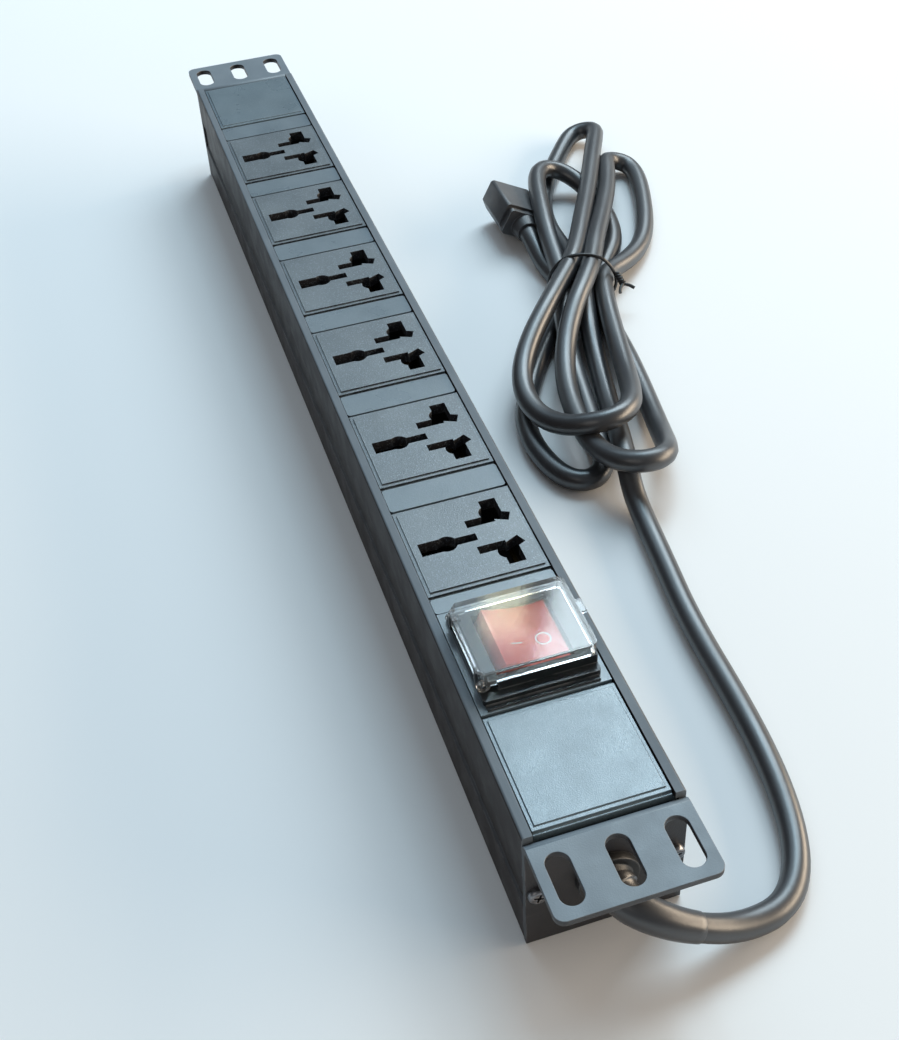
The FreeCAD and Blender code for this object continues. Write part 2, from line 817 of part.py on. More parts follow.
def wire(points, radius):
    """Return a wire of straight runs with mitred corners through the points."""
    points = [Vector(*point) for point in points]
    sweep = Part.BRepOffsetAPI.MakePipeShell(Part.makePolygon(points))
    sweep.setTransitionMode(1)
    sweep.add(Part.Wire([Part.Circle(points[0], points[1] - points[0], radius).toShape()]))
    sweep.build()
    sweep.makeSolid()
    return sweep.shape()


def earth_lug_x():
    """Return the place along X of the earth screw in the housing's floor."""
    return end_x - earth_lug_inset


def cord_route():
    """Return the points that the lead passes from the bracket, through the gland, to the hank."""
    seat = end_x + ear_thickness
    floor_z = cord_radius + 0.05
    return [
        (seat, gland_y, gland_z),
        (seat + 7.0, gland_y, gland_z),
        (seat + 13.5, 5.0, 20.2),
        (seat + 17.5, 16.0, 13.8),
        (seat + 18.0, 31.0, 6.2),
        (seat + 15.0, 46.0, floor_z),
        (seat + 3.0, 56.0, floor_z),
        (seat - 18.0, 62.0, floor_z),
        (seat - 46.0, 65.0, floor_z),
        (seat - 88.0, 65.6, floor_z),
        (seat - 118.0, 69.2, floor_z),
        (hank_entry_x, 71.6, floor_z),
    ]


def hank():
    """Return the tied hank's outer shape, in three levels: loops that fan out at each end of a narrow waist."""
    foot = [
        (54, 53, 8), (28, 46, 14), (-2, 54, 20), (-31, 73), (-61, 92, 20), (-99, 91), (-99, 101),
        (-128, 106, 8), (-147, 117), (-180, 141, 8), (-190, 152, 6), (-186, 161, 5), (-166, 160),
        (-152, 157), (-150, 166, 6), (-133, 166, 8), (-96, 153, 15), (-62, 128), (-53, 116, 8), (-28, 109),
        (8, 105, 20), (50, 98, 12), (73, 82, 8), (79, 76.5), (79, 67), (66, 65),
    ]
    middle = [
        (58, 63), (46, 60), (32, 51, 8), (14, 47.5, 12), (-4, 52, 10), (-31, 73), (-61, 92, 20), (-99, 92),
        (-99, 101), (-140, 109, 8), (-150, 116, 5), (-150, 150, 10), (-122, 147), (-90, 130), (-62, 122),
        (-53, 115, 8), (-28, 107), (20, 97, 15), (56, 90, 10), (72, 86, 6), (75, 76, 4), (70, 67, 4),
    ]
    crown = [
        (40, 58, 8), (24, 56), (-12, 60, 8), (-34, 73), (-61, 92, 12), (-90, 109, 4), (-88, 122, 4), (-66, 116),
        (-50, 112, 8), (-20, 98), (10, 95, 10), (42, 90, 8), (68, 86, 6), (74, 75, 5), (62, 65),
    ]
    levels = zip((foot, middle, crown), hank_levels, hank_levels[1:])
    return fused([along_z(corners, low, high) for corners, low, high in levels])


def cord_tie():
    """Return the thin tie round the hank's waist, with its twisted ends."""
    width = 1.6
    top = hank_levels[-1]
    outer = along_x(corners_of(around(0, hank_waist + 1.2), (hank_levels[0], top + 1.0), 1.0), -width / 2, width / 2)
    inner = along_x(corners_of(around(0, hank_waist), (hank_levels[0] - 1, top), 0.5), -width, width)
    twist = rod((0, hank_waist + 0.6, top / 2), (0.35, 0.9, 0.25), 0.9, 7.0)
    tie = fused([outer.cut(inner), twist])
    tie.rotate(Vector(0, 0, 0), Vector(0, 0, 1), -20)
    tie.translate(Vector(-57, 103.5, 0))
    return tie.cut(hank())


def plug_turned(shape):
    """Return a plug piece, built along -X about the X axis, rolled and set in its place."""
    shape.rotate(Vector(0, 0, 0), Vector(1, 0, 0), plug_roll)
    shape.translate(Vector(plug_x, plug_y, plug_z))
    return shape


def plug_body():
    """Return the moulded inline plug with its boot and the shroud round the pins."""
    boot = Part.makeCone(boot_tip_radius, boot_root_radius, boot_length, Vector(0, 0, 0), Vector(-1, 0, 0))
    rear = -boot_length
    front = rear - plug_length
    half_w = plug_width / 2
    half_h = plug_height / 2
    section = [
        (-half_w, -half_h, plug_corner), (half_w, -half_h, plug_corner), (half_w, half_h - plug_cut, 1.0),
        (half_w - plug_cut, half_h, 1.0), (-half_w + plug_cut, half_h, 1.0), (-half_w, half_h - plug_cut, 1.0),
    ]
    inner = half_w - plug_wall
    inner_h = half_h - plug_wall
    cut = plug_cut - plug_wall / 2
    mouth = [
        (-inner, -inner_h), (inner, -inner_h), (inner, inner_h - cut),
        (inner - cut, inner_h), (-inner + cut, inner_h), (-inner, inner_h - cut),
    ]
    body = along_x(section, front, rear)
    grip = corners_of(around(0, half_w - grip_inset), around(0, half_h - grip_inset), plug_corner)
    waist = along_x(grip, rear - 0.5, rear + grip_length)
    body = fused([body, waist, boot])
    return plug_turned(body.cut(along_x(mouth, front, front + plug_recess)))


def plug_pins():
    """Return the three flat pins inside the plug's shroud."""
    pins = []
    front = -boot_length - plug_length
    for across, up in ((-plug_pin_spacing, -plug_pin_step), (0.0, plug_pin_step), (plug_pin_spacing, -plug_pin_step)):
        run = (front + plug_recess - plug_pin_length, front + plug_recess)
        thin = around(across, plug_pin_thickness / 2)
        pins.append(plug_turned(block(run, thin, around(up, plug_pin_width / 2))))
    return pins


def wires(centre, sockets):
    """Return the inner wires by name, each from the sheath's end, a terminal or a busbar to the next."""
    start_x = end_x - gland_thread_length - sheath_end_length
    bar_x = sockets[0][1] + bar_overhang / 2
    run_z = 7.0
    bar_low = {"live": tray_top_of_floor, "neutral": tray_low - bar_thickness, "earth": tray_top_of_floor}
    bar_y = {"live": live_bar_y()[0], "neutral": pin_line, "earth": earth_contact_y()}
    made = {}
    for name, side, rise in (("live", 1, 2.0), ("neutral", -1, 2.0)):
        foot = terminal_place(centre, 1, side)
        made[f"{name}_wire_in"] = [
            (start_x, gland_y + side * 2.0, gland_z + rise), (start_x - 8, gland_y + side * 2.0, gland_z + rise),
            (start_x - 18, foot.y + side * 1.0, run_z), (foot.x + 6, foot.y + side * 0.5, run_z - 1),
            (foot.x, foot.y, run_z + 3), (foot.x, foot.y, foot.z),
        ]
        foot = terminal_place(centre, -1, side)
        made[f"{name}_wire_out"] = [
            (foot.x, foot.y, foot.z), (foot.x, foot.y, run_z + 3), (foot.x - 6, foot.y + side * 1.0, run_z),
            (bar_x + 5, bar_y[name] - 1.0, run_z), (bar_x, bar_y[name], run_z + 5),
            (bar_x, bar_y[name], bar_low[name]),
        ]
    tongue = floor_thickness + bar_thickness
    made["earth_wire_in"] = [
        (start_x, gland_y, gland_z - 2.4), (start_x - 6, gland_y, gland_z - 2.4),
        (start_x - 9.5, -10.0, 14.0), (earth_lug_x() + 8, earth_lug_y, 8.0), (earth_lug_x() + 8, earth_lug_y, tongue),
    ]
    made["earth_wire_out"] = [
        (earth_lug_x() - 8, earth_lug_y, tongue), (earth_lug_x() - 8, earth_lug_y, run_z + 1),
        (earth_lug_x() - 20, earth_lug_y - 0.5, run_z), (bar_x + 8, bar_y["earth"] - 0.5, run_z),
        (bar_x, bar_y["earth"], run_z + 6), (bar_x, bar_y["earth"], bar_low["earth"]),
    ]
    return made


def earth_lug():
    """Return the double-ended lug that joins the earth wires to the housing's floor."""
    top = (floor_thickness, floor_thickness + bar_thickness)
    seat = rod((earth_lug_x(), earth_lug_y, floor_thickness), (0, 0, 1), 4.0, bar_thickness)
    strap = block(around(earth_lug_x(), 11.0), around(earth_lug_y, 2.2), top)
    hole = rod((earth_lug_x(), earth_lug_y, floor_thickness), (0, 0, 1), 1.7, bar_thickness)
    return fused([seat, strap]).cut(hole)


def earth_screw():
    """Return the screw that clamps the earth lug to the housing's floor."""
    seat = floor_thickness + bar_thickness
    head = rod((earth_lug_x(), earth_lug_y, seat), (0, 0, 1), 3.2, 2.2)
    shank = rod((earth_lug_x(), earth_lug_y, seat), (0, 0, -1), 1.65, seat - 0.3)
    return fused([head, shank])


def main():
    """Build every node and write it to parts."""
    os.makedirs("parts", exist_ok=True)
    places = layout()
    sockets = [places[f"socket_{number}"] for number in range(socket_count, 0, -1)]
    centre = sum(places["switch"]) / 2

    save("housing", housing())
    bracket = end_bracket()
    save("end_bracket_lead", bracket.cut(gland_hole()))
    save("end_bracket_far", mirrored(bracket))
    screws = end_screws()
    save("end_screws", *screws, *[mirrored(screw) for screw in screws])

    save("label_plate", rimmed_plate(places["label"], label_rise))
    save("blank_plate", rimmed_plate(places["blank"], label_rise))
    save("narrow_spacer", spacer(places["narrow_spacer"]))
    for number in range(1, socket_count + 1):
        save(f"spacer_{number}", spacer(places[f"spacer_{number}"]))
        save(f"socket_face_{number}", socket_face(places[f"socket_{number}"]))
        save(f"socket_tray_{number}", socket_tray(places[f"socket_{number}"]))
    save("tray_screws", *tray_screws(sockets))
    save("live_busbar", busbar(sockets, 1))
    save("neutral_busbar", busbar(sockets, -1))
    save("earth_busbar", earth_busbar(sockets))

    save("switch_plate", switch_plate(places["switch"]))
    save("switch_bezel", switch_bezel(centre))
    save("switch_body", switch_body(centre))
    save("switch_terminals", *terminals(centre))
    save("rocker", rocker(centre))
    save("flip_cover", flip_cover(centre))
    save("hinge_pin", hinge_pin(centre))

    for name, points in wires(centre, sockets).items():
        save(name, wire(points, wire_radius))
    save("earth_lug", earth_lug())
    save("earth_screw", earth_screw())

    save("cord_gland", gland())
    save("gland_nut", gland_nut())
    save("sheath_end", sheath_end())
    save("power_cord", tube(cord_route(), cord_radius, "power_cord"))
    save("cord_hank", hank())
    save("cord_tie", cord_tie())
    save("plug_body", plug_body())
    save("plug_pins", *plug_pins())


main()
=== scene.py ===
"""Dresses a rack power strip: the camera, the lights, every finish, and the mains lead with its hank.

Sizes are in metres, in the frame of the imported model: X towards the lead, Y across and Z up.
"""

from collections.abc import Callable

import logging
import math
from dataclasses import dataclass, field
from enum import Enum

import bpy
from mathutils import Matrix, Vector


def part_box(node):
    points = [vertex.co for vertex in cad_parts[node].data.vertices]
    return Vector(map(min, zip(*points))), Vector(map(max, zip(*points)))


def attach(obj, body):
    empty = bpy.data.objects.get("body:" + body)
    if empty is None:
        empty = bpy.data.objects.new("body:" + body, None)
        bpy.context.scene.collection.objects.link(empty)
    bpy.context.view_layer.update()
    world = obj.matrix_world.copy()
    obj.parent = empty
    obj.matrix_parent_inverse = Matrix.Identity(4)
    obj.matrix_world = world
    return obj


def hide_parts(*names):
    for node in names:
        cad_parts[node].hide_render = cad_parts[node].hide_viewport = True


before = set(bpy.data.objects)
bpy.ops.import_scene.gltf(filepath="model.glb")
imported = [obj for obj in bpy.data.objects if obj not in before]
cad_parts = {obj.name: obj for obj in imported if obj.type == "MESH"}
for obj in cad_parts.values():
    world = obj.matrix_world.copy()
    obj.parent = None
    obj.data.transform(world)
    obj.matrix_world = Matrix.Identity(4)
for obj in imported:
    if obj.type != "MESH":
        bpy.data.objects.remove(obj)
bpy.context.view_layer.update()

log = logging.getLogger("power_strip")

Place = tuple[float, float, float]
Colour = tuple[float, float, float]
Node = bpy.types.Node
Socket = bpy.types.NodeSocket
Tree = bpy.types.NodeTree

EVEN: Place = (1.0, 1.0, 1.0)
DUST_COLOUR: Colour = (0.42, 0.40, 0.37)
DUST_ROUGHNESS = 0.3
SCRATCH_ROUGHNESS = 0.2
ROUGHNESS_SPREAD = 0.14
GRAIN_STRENGTH = 0.6
SMOOTH_ANGLE = math.radians(35)
SHARP_ANGLE = math.radians(40)
FLAT_ANGLE = math.radians(0.6)
WELD_REACH = 0.000002
BEVEL_SEGMENTS = 2


# Node graphs


class Graph:
    """A node tree with short ways to add nodes and to join them."""

    def __init__(self, tree: Tree) -> None:
        """Start from a tree's own nodes."""
        self.tree = tree

    def add(self, kind: str, **settings) -> Node:
        """Add a node.

        Args:
            kind: the node's type name without its ShaderNode prefix.
            settings: attributes of the node.

        Returns:
            The new node.
        """
        node = self.tree.nodes.new("ShaderNode" + kind)
        for name, value in settings.items():
            setattr(node, name, value)
        return node

    def join(self, source: Socket, target: Socket) -> None:
        """Link two sockets."""
        self.tree.links.new(source, target)

    def math(self, operation: str, first, second=0.0, clamp: bool = False) -> Socket:
        """Return the result of a maths node.

        Args:
            operation: the operation's name.
            first: a number or a socket.
            second: a number or a socket.
            clamp: whether the result stays between 0 and 1.

        Returns:
            The node's output.
        """
        node = self.add("Math", operation=operation, use_clamp=clamp)
        for index, value in enumerate((first, second)):
            if isinstance(value, (int, float)):
                node.inputs[index].default_value = value
            else:
                self.join(value, node.inputs[index])
        return node.outputs[0]

    def ramp(self, source: Socket, low: float, high: float, out_low: float = 0.0,
             out_high: float = 1.0) -> Socket:
        """Return the source's range mapped smoothly onto another range.

        Args:
            source: the value to map.
            low: the value that becomes out_low.
            high: the value that becomes out_high.
            out_low: the lowest result.
            out_high: the highest result.

        Returns:
            The mapped value.
        """
        node = self.add("MapRange", interpolation_type="SMOOTHSTEP")
        self.join(source, node.inputs["Value"])
        limits = {"From Min": low, "From Max": high, "To Min": out_low, "To Max": out_high}
        for name, value in limits.items():
            node.inputs[name].default_value = value
        return node.outputs["Result"]

    def mix(self, mask: Socket, first, second) -> Socket:
        """Return two colours mixed by a mask.

        Args:
            mask: where the second colour shows.
            first: a colour or a socket.
            second: a colour or a socket.

        Returns:
            The mixed colour.
        """
        node = self.add("Mix", data_type="RGBA")
        self.join(mask, node.inputs[0])
        for socket, value in ((node.inputs[6], first), (node.inputs[7], second)):
            if isinstance(value, tuple):
                socket.default_value = (*value, 1.0)
            else:
                self.join(value, socket)
        return node.outputs[2]

    def noise(self, scale: float, detail: float = 2.0, stretch: Place = EVEN) -> Socket:
        """Return noise on object coordinates.

        Args:
            scale: how many features there are to the metre.
            detail: how many finer layers it has.
            stretch: how much denser it is along each axis.

        Returns:
            The noise's value, about 0.5.
        """
        node = self.add("TexNoise")
        node.inputs["Scale"].default_value = scale
        node.inputs["Detail"].default_value = detail
        self.join(self.here(stretch), node.inputs["Vector"])
        return node.outputs["Fac"]

    def here(self, stretch: Place = EVEN, offset: Place = (0.0, 0.0, 0.0)) -> Socket:
        """Return the object coordinates, moved by an offset and scaled.

        Args:
            stretch: the factor along each axis.
            offset: the place that becomes the origin.

        Returns:
            The coordinates.
        """
        mapping = self.add("Mapping", vector_type="POINT")
        mapping.inputs["Scale"].default_value = stretch
        mapping.inputs["Location"].default_value = tuple(-o * s for o, s in zip(offset, stretch))
        self.join(self.add("TexCoord").outputs["Object"], mapping.inputs["Vector"])
        return mapping.outputs["Vector"]

    def facing(self, axis: str) -> Socket:
        """Return how far the face looks along an axis.

        Args:
            axis: X, Y or Z.

        Returns:
            That part of the normal, from -1 to 1.
        """
        normal = self.add("SeparateXYZ")
        self.join(self.add("NewGeometry").outputs["Normal"], normal.inputs[0])
        return normal.outputs[axis]


class Effects:
    """The node groups that several finishes share."""

    @staticmethod
    def group(name: str, outputs: tuple[str, ...], inputs: dict[str, float]) -> tuple[Graph, Node, Node]:
        """Start a node group with float sockets.

        Args:
            name: the group's name.
            outputs: the names of its results.
            inputs: its inputs' names and values.

        Returns:
            The group's graph, its input node and its output node.
        """
        tree = bpy.data.node_groups.new(name, "ShaderNodeTree")
        for output in outputs:
            tree.interface.new_socket(name=output, in_out="OUTPUT", socket_type="NodeSocketFloat")
        for label, value in inputs.items():
            socket = tree.interface.new_socket(name=label, in_out="INPUT", socket_type="NodeSocketFloat")
            socket.default_value = value
        graph = Graph(tree)
        return graph, tree.nodes.new("NodeGroupInput"), tree.nodes.new("NodeGroupOutput")

    @classmethod
    def grain(cls) -> Tree:
        """Build the fine moulded grain: pits, and a mask of facets for painted glints.

        Returns:
            The group, with Height and the painted glint mask.
        """
        graph, given, result = cls.group("moulded_grain", ("Height", "PaintedGlint"), {"Scale": 1800.0})
        cells = graph.add("TexVoronoi", feature="F1")
        graph.join(graph.here(), cells.inputs["Vector"])
        graph.join(given.outputs["Scale"], cells.inputs["Scale"])
        soft = graph.add("TexNoise")
        graph.join(graph.here(), soft.inputs["Vector"])
        graph.join(graph.math("MULTIPLY", given.outputs["Scale"], 0.8), soft.inputs["Scale"])
        both = graph.math("ADD", cells.outputs["Distance"], soft.outputs["Fac"])
        graph.join(both, result.inputs["Height"])
        # Painted glint: the brightest grain cells, standing in for facets that catch the light.
        shade = graph.add("SeparateColor")
        graph.join(cells.outputs["Color"], shade.inputs[0])
        graph.join(graph.ramp(shade.outputs[0], 0.80, 0.98), result.inputs["PaintedGlint"])
        return graph.tree

    @classmethod
    def edge_wear(cls) -> Tree:
        """Build the mask of rubbed edges.

        Returns:
            The group, with Mask.
        """
        graph, given, result = cls.group("edge_wear", ("Mask",), {"Width": 0.0006})
        rounded = graph.add("Bevel", samples=4)
        graph.join(given.outputs["Width"], rounded.inputs["Radius"])
        turn = graph.add("VectorMath", operation="DOT_PRODUCT")
        graph.join(rounded.outputs["Normal"], turn.inputs[0])
        graph.join(graph.add("NewGeometry").outputs["Normal"], turn.inputs[1])
        edge = graph.ramp(turn.outputs["Value"], 0.995, 0.93)
        patches = graph.ramp(graph.noise(140.0, 4.0), 0.38, 0.62)
        graph.join(graph.math("MULTIPLY", edge, patches), result.inputs["Mask"])
        return graph.tree

    @classmethod
    def scratches(cls) -> Tree:
        """Build the mask of fine scratches that run in two directions.

        Returns:
            The group, with Mask.
        """
        graph, given, result = cls.group("scratches", ("Mask",), {"Amount": 0.5})
        lines = []
        for turn, stretch in ((0.6, (40.0, 900.0, 400.0)), (-0.9, (700.0, 30.0, 400.0))):
            mapping = graph.add("Mapping")
            mapping.inputs["Rotation"].default_value = (0.0, 0.0, turn)
            mapping.inputs["Scale"].default_value = stretch
            graph.join(graph.add("TexCoord").outputs["Object"], mapping.inputs["Vector"])
            streak = graph.add("TexNoise")
            streak.inputs["Detail"].default_value = 0.0
            streak.inputs["Scale"].default_value = 1.0
            graph.join(mapping.outputs["Vector"], streak.inputs["Vector"])
            lines.append(graph.ramp(streak.outputs["Fac"], 0.74, 0.80))
        broken = graph.ramp(graph.noise(90.0, 2.0), 0.52, 0.62)
        both = graph.math("MULTIPLY", graph.math("MAXIMUM", *lines), broken)
        graph.join(graph.math("MULTIPLY", both, given.outputs["Amount"]), result.inputs["Mask"])
        return graph.tree

    @classmethod
    def dust(cls) -> Tree:
        """Build the mask of dust, thicker on faces that look up.

        Returns:
            The group, with Mask.
        """
        graph, given, result = cls.group("dust", ("Mask",), {"Amount": 0.2})
        upward = graph.ramp(graph.facing("Z"), 0.2, 1.0)
        cloud = graph.ramp(graph.noise(45.0, 5.0), 0.35, 0.75)
        settled = graph.math("MULTIPLY", upward, cloud)
        graph.join(graph.math("MULTIPLY", settled, given.outputs["Amount"]), result.inputs["Mask"])
        return graph.tree


EFFECTS: dict[str, Tree] = {}


# Finishes


@dataclass(frozen=True)
class Finish:
    """A finish: colours, gloss and grain, with painted glints, wear, scratches and dust."""

    name: str
    colour: Colour
    second_colour: Colour
    roughness: float
    mottle: float = 60.0
    grain_scale: float = 1800.0
    grain_depth: float = 0.00002
    painted_glint: float = 0.0
    wear: float = 0.0
    wear_and_glint_colour: Colour = (0.35, 0.36, 0.38)
    scratch: float = 0.0
    dust: float = 0.0
    metallic: float = 0.0
    specular: float = 0.5
    stretch: Place = EVEN

    @property
    def title(self) -> str:
        """The material's name."""
        return self.name + "_finish"

    def effect(self, graph: Graph, name: str, **values: float) -> Node:
        """Add one of the shared groups.

        Args:
            graph: the material's graph.
            name: the group's name.
            values: its inputs.

        Returns:
            The group node.
        """
        node = graph.add("Group", node_tree=EFFECTS[name])
        for label, value in values.items():
            node.inputs[label].default_value = value
        return node

    def paint(self, graph: Graph) -> Socket:
        """Return the colour before wear and dust."""
        cloud = graph.ramp(graph.noise(self.mottle, 4.0, self.stretch), 0.3, 0.7)
        return graph.mix(cloud, self.colour, self.second_colour)

    def material(self) -> bpy.types.Material:
        """Build the material.

        Returns:
            The node material.
        """
        material = bpy.data.materials.new(self.title)
        material.use_nodes = True
        graph = Graph(material.node_tree)
        shader = graph.tree.nodes["Principled BSDF"]
        shader.inputs["Metallic"].default_value = self.metallic
        shader.inputs["Specular IOR Level"].default_value = self.specular
        grain = self.effect(graph, "moulded_grain", Scale=self.grain_scale)
        colour = self.paint(graph)
        rough = graph.ramp(graph.noise(self.mottle * 1.7, 5.0, self.stretch), 0.25, 0.75,
                           self.roughness * (1.0 - ROUGHNESS_SPREAD),
                           min(1.0, self.roughness * (1.0 + ROUGHNESS_SPREAD)))
        # Painted glint: the lighter wear colour on random grain facets, standing in for glints of light.
        if self.painted_glint:
            glint_mask = graph.math("MULTIPLY", grain.outputs["PaintedGlint"], self.painted_glint)
            colour = graph.mix(glint_mask, colour, self.wear_and_glint_colour)
        if self.wear:
            mask = graph.math("MULTIPLY", self.effect(graph, "edge_wear").outputs["Mask"], self.wear)
            colour = graph.mix(mask, colour, self.wear_and_glint_colour)
        for name, amount, tint, roughening in (
            ("scratches", self.scratch, self.wear_and_glint_colour, SCRATCH_ROUGHNESS),
            ("dust", self.dust, DUST_COLOUR, DUST_ROUGHNESS),
        ):
            if amount:
                mask = self.effect(graph, name, Amount=amount).outputs["Mask"]
                colour = graph.mix(mask, colour, tint)
                rough = graph.math("ADD", rough, graph.math("MULTIPLY", mask, roughening), clamp=True)
        graph.join(colour, shader.inputs["Base Color"])
        graph.join(rough, shader.inputs["Roughness"])
        bump = graph.add("Bump")
        bump.inputs["Strength"].default_value = GRAIN_STRENGTH
        bump.inputs["Distance"].default_value = self.grain_depth
        graph.join(grain.outputs["Height"], bump.inputs["Height"])
        graph.join(bump.outputs["Normal"], shader.inputs["Normal"])
        self.extras(graph, shader)
        return material

    def extras(self, graph: Graph, shader: Node) -> None:
        """Leave the shader as it is."""


@dataclass(frozen=True)
class AnodisedChannel(Finish):
    """Black anodised aluminium, satin, with draw lines along X: a blue-grey painted sheen on top, and a
    painted dark brown reflection and shade down the sides.
    """

    painted_side_reflection_colour: Colour = (0.026, 0.019, 0.017)
    line_density: Place = (6.0, 1500.0, 1500.0)
    line_strength: float = 0.35

    def paint(self, graph: Graph) -> Socket:
        """Return the painted sheen on top and the painted reflection and shade on the sides, with draw
        lines along X.
        """
        base = super().paint(graph)
        # Painted light: faces that look along Y take the dark brown painted reflection and shade colour.
        side = graph.ramp(graph.math("ABSOLUTE", graph.facing("Y")), 0.3, 0.9)
        streaks = graph.noise(1.0, 3.0, self.line_density)
        lines = graph.ramp(streaks, 0.35, 0.7, 0.0, self.line_strength)
        lined = graph.mix(lines, base, self.second_colour)
        return graph.mix(side, lined, self.painted_side_reflection_colour)


@dataclass(frozen=True)
class DarkSided(Finish):
    """Black paint or plastic in painted light: a blue-grey painted sheen where it looks up, a near-black
    painted shade elsewhere.
    """

    painted_shade_colour: Colour = (0.022, 0.021, 0.024)

    def paint(self, graph: Graph) -> Socket:
        """Return the painted sheen or the painted shade by how far the face looks up."""
        base = super().paint(graph)
        # Painted shade on faces that do not look up; the finish's own colours, lifted by a painted sheen,
        # on faces that look up.
        return graph.mix(graph.ramp(graph.facing("Z"), 0.3, 0.85), self.painted_shade_colour, base)


@dataclass(frozen=True)
class RockerPlastic(Finish):
    """Red moulded plastic with a white bar and ring on its face."""

    mark_x: float = 0.15915
    bar_y: float = -0.0025
    bar_half: float = 0.0016
    ring_y: float = 0.0053
    ring_radius: float = 0.0021
    stroke: float = 0.00045
    lowest_mark: float = 0.0455
    mark_colour: Colour = (0.95, 0.90, 0.84)

    def paint(self, graph: Graph) -> Socket:
        """Return the red with the two marks."""
        base = super().paint(graph)
        place = graph.add("SeparateXYZ")
        graph.join(graph.here(offset=(self.mark_x, 0.0, 0.0)), place.inputs[0])
        across = graph.math("ABSOLUTE", place.outputs["X"])
        bar_along = graph.math("ABSOLUTE", graph.math("SUBTRACT", place.outputs["Y"], self.bar_y))
        bar = graph.math("MULTIPLY", graph.math("LESS_THAN", across, self.stroke / 2),
                         graph.math("LESS_THAN", bar_along, self.bar_half))
        ring_along = graph.math("ABSOLUTE", graph.math("SUBTRACT", place.outputs["Y"], self.ring_y))
        square = graph.math("ADD", graph.math("POWER", across, 2.0), graph.math("POWER", ring_along, 2.0))
        reach = graph.math("SUBTRACT", graph.math("SQRT", square), self.ring_radius)
        ring = graph.math("LESS_THAN", graph.math("ABSOLUTE", reach), self.stroke / 2)
        high = graph.math("GREATER_THAN", place.outputs["Z"], self.lowest_mark)
        marks = graph.math("MULTIPLY", graph.math("MAXIMUM", bar, ring), high)
        return graph.mix(marks, base, self.mark_colour)


@dataclass(frozen=True)
class ClearPlastic(Finish):
    """Clear moulded plastic with fine scratches."""

    clearness: float = 0.95
    index: float = 1.49

    def extras(self, graph: Graph, shader: Node) -> None:
        """Let light through, with a little haze."""
        shader.inputs["Transmission Weight"].default_value = self.clearness
        shader.inputs["IOR"].default_value = self.index


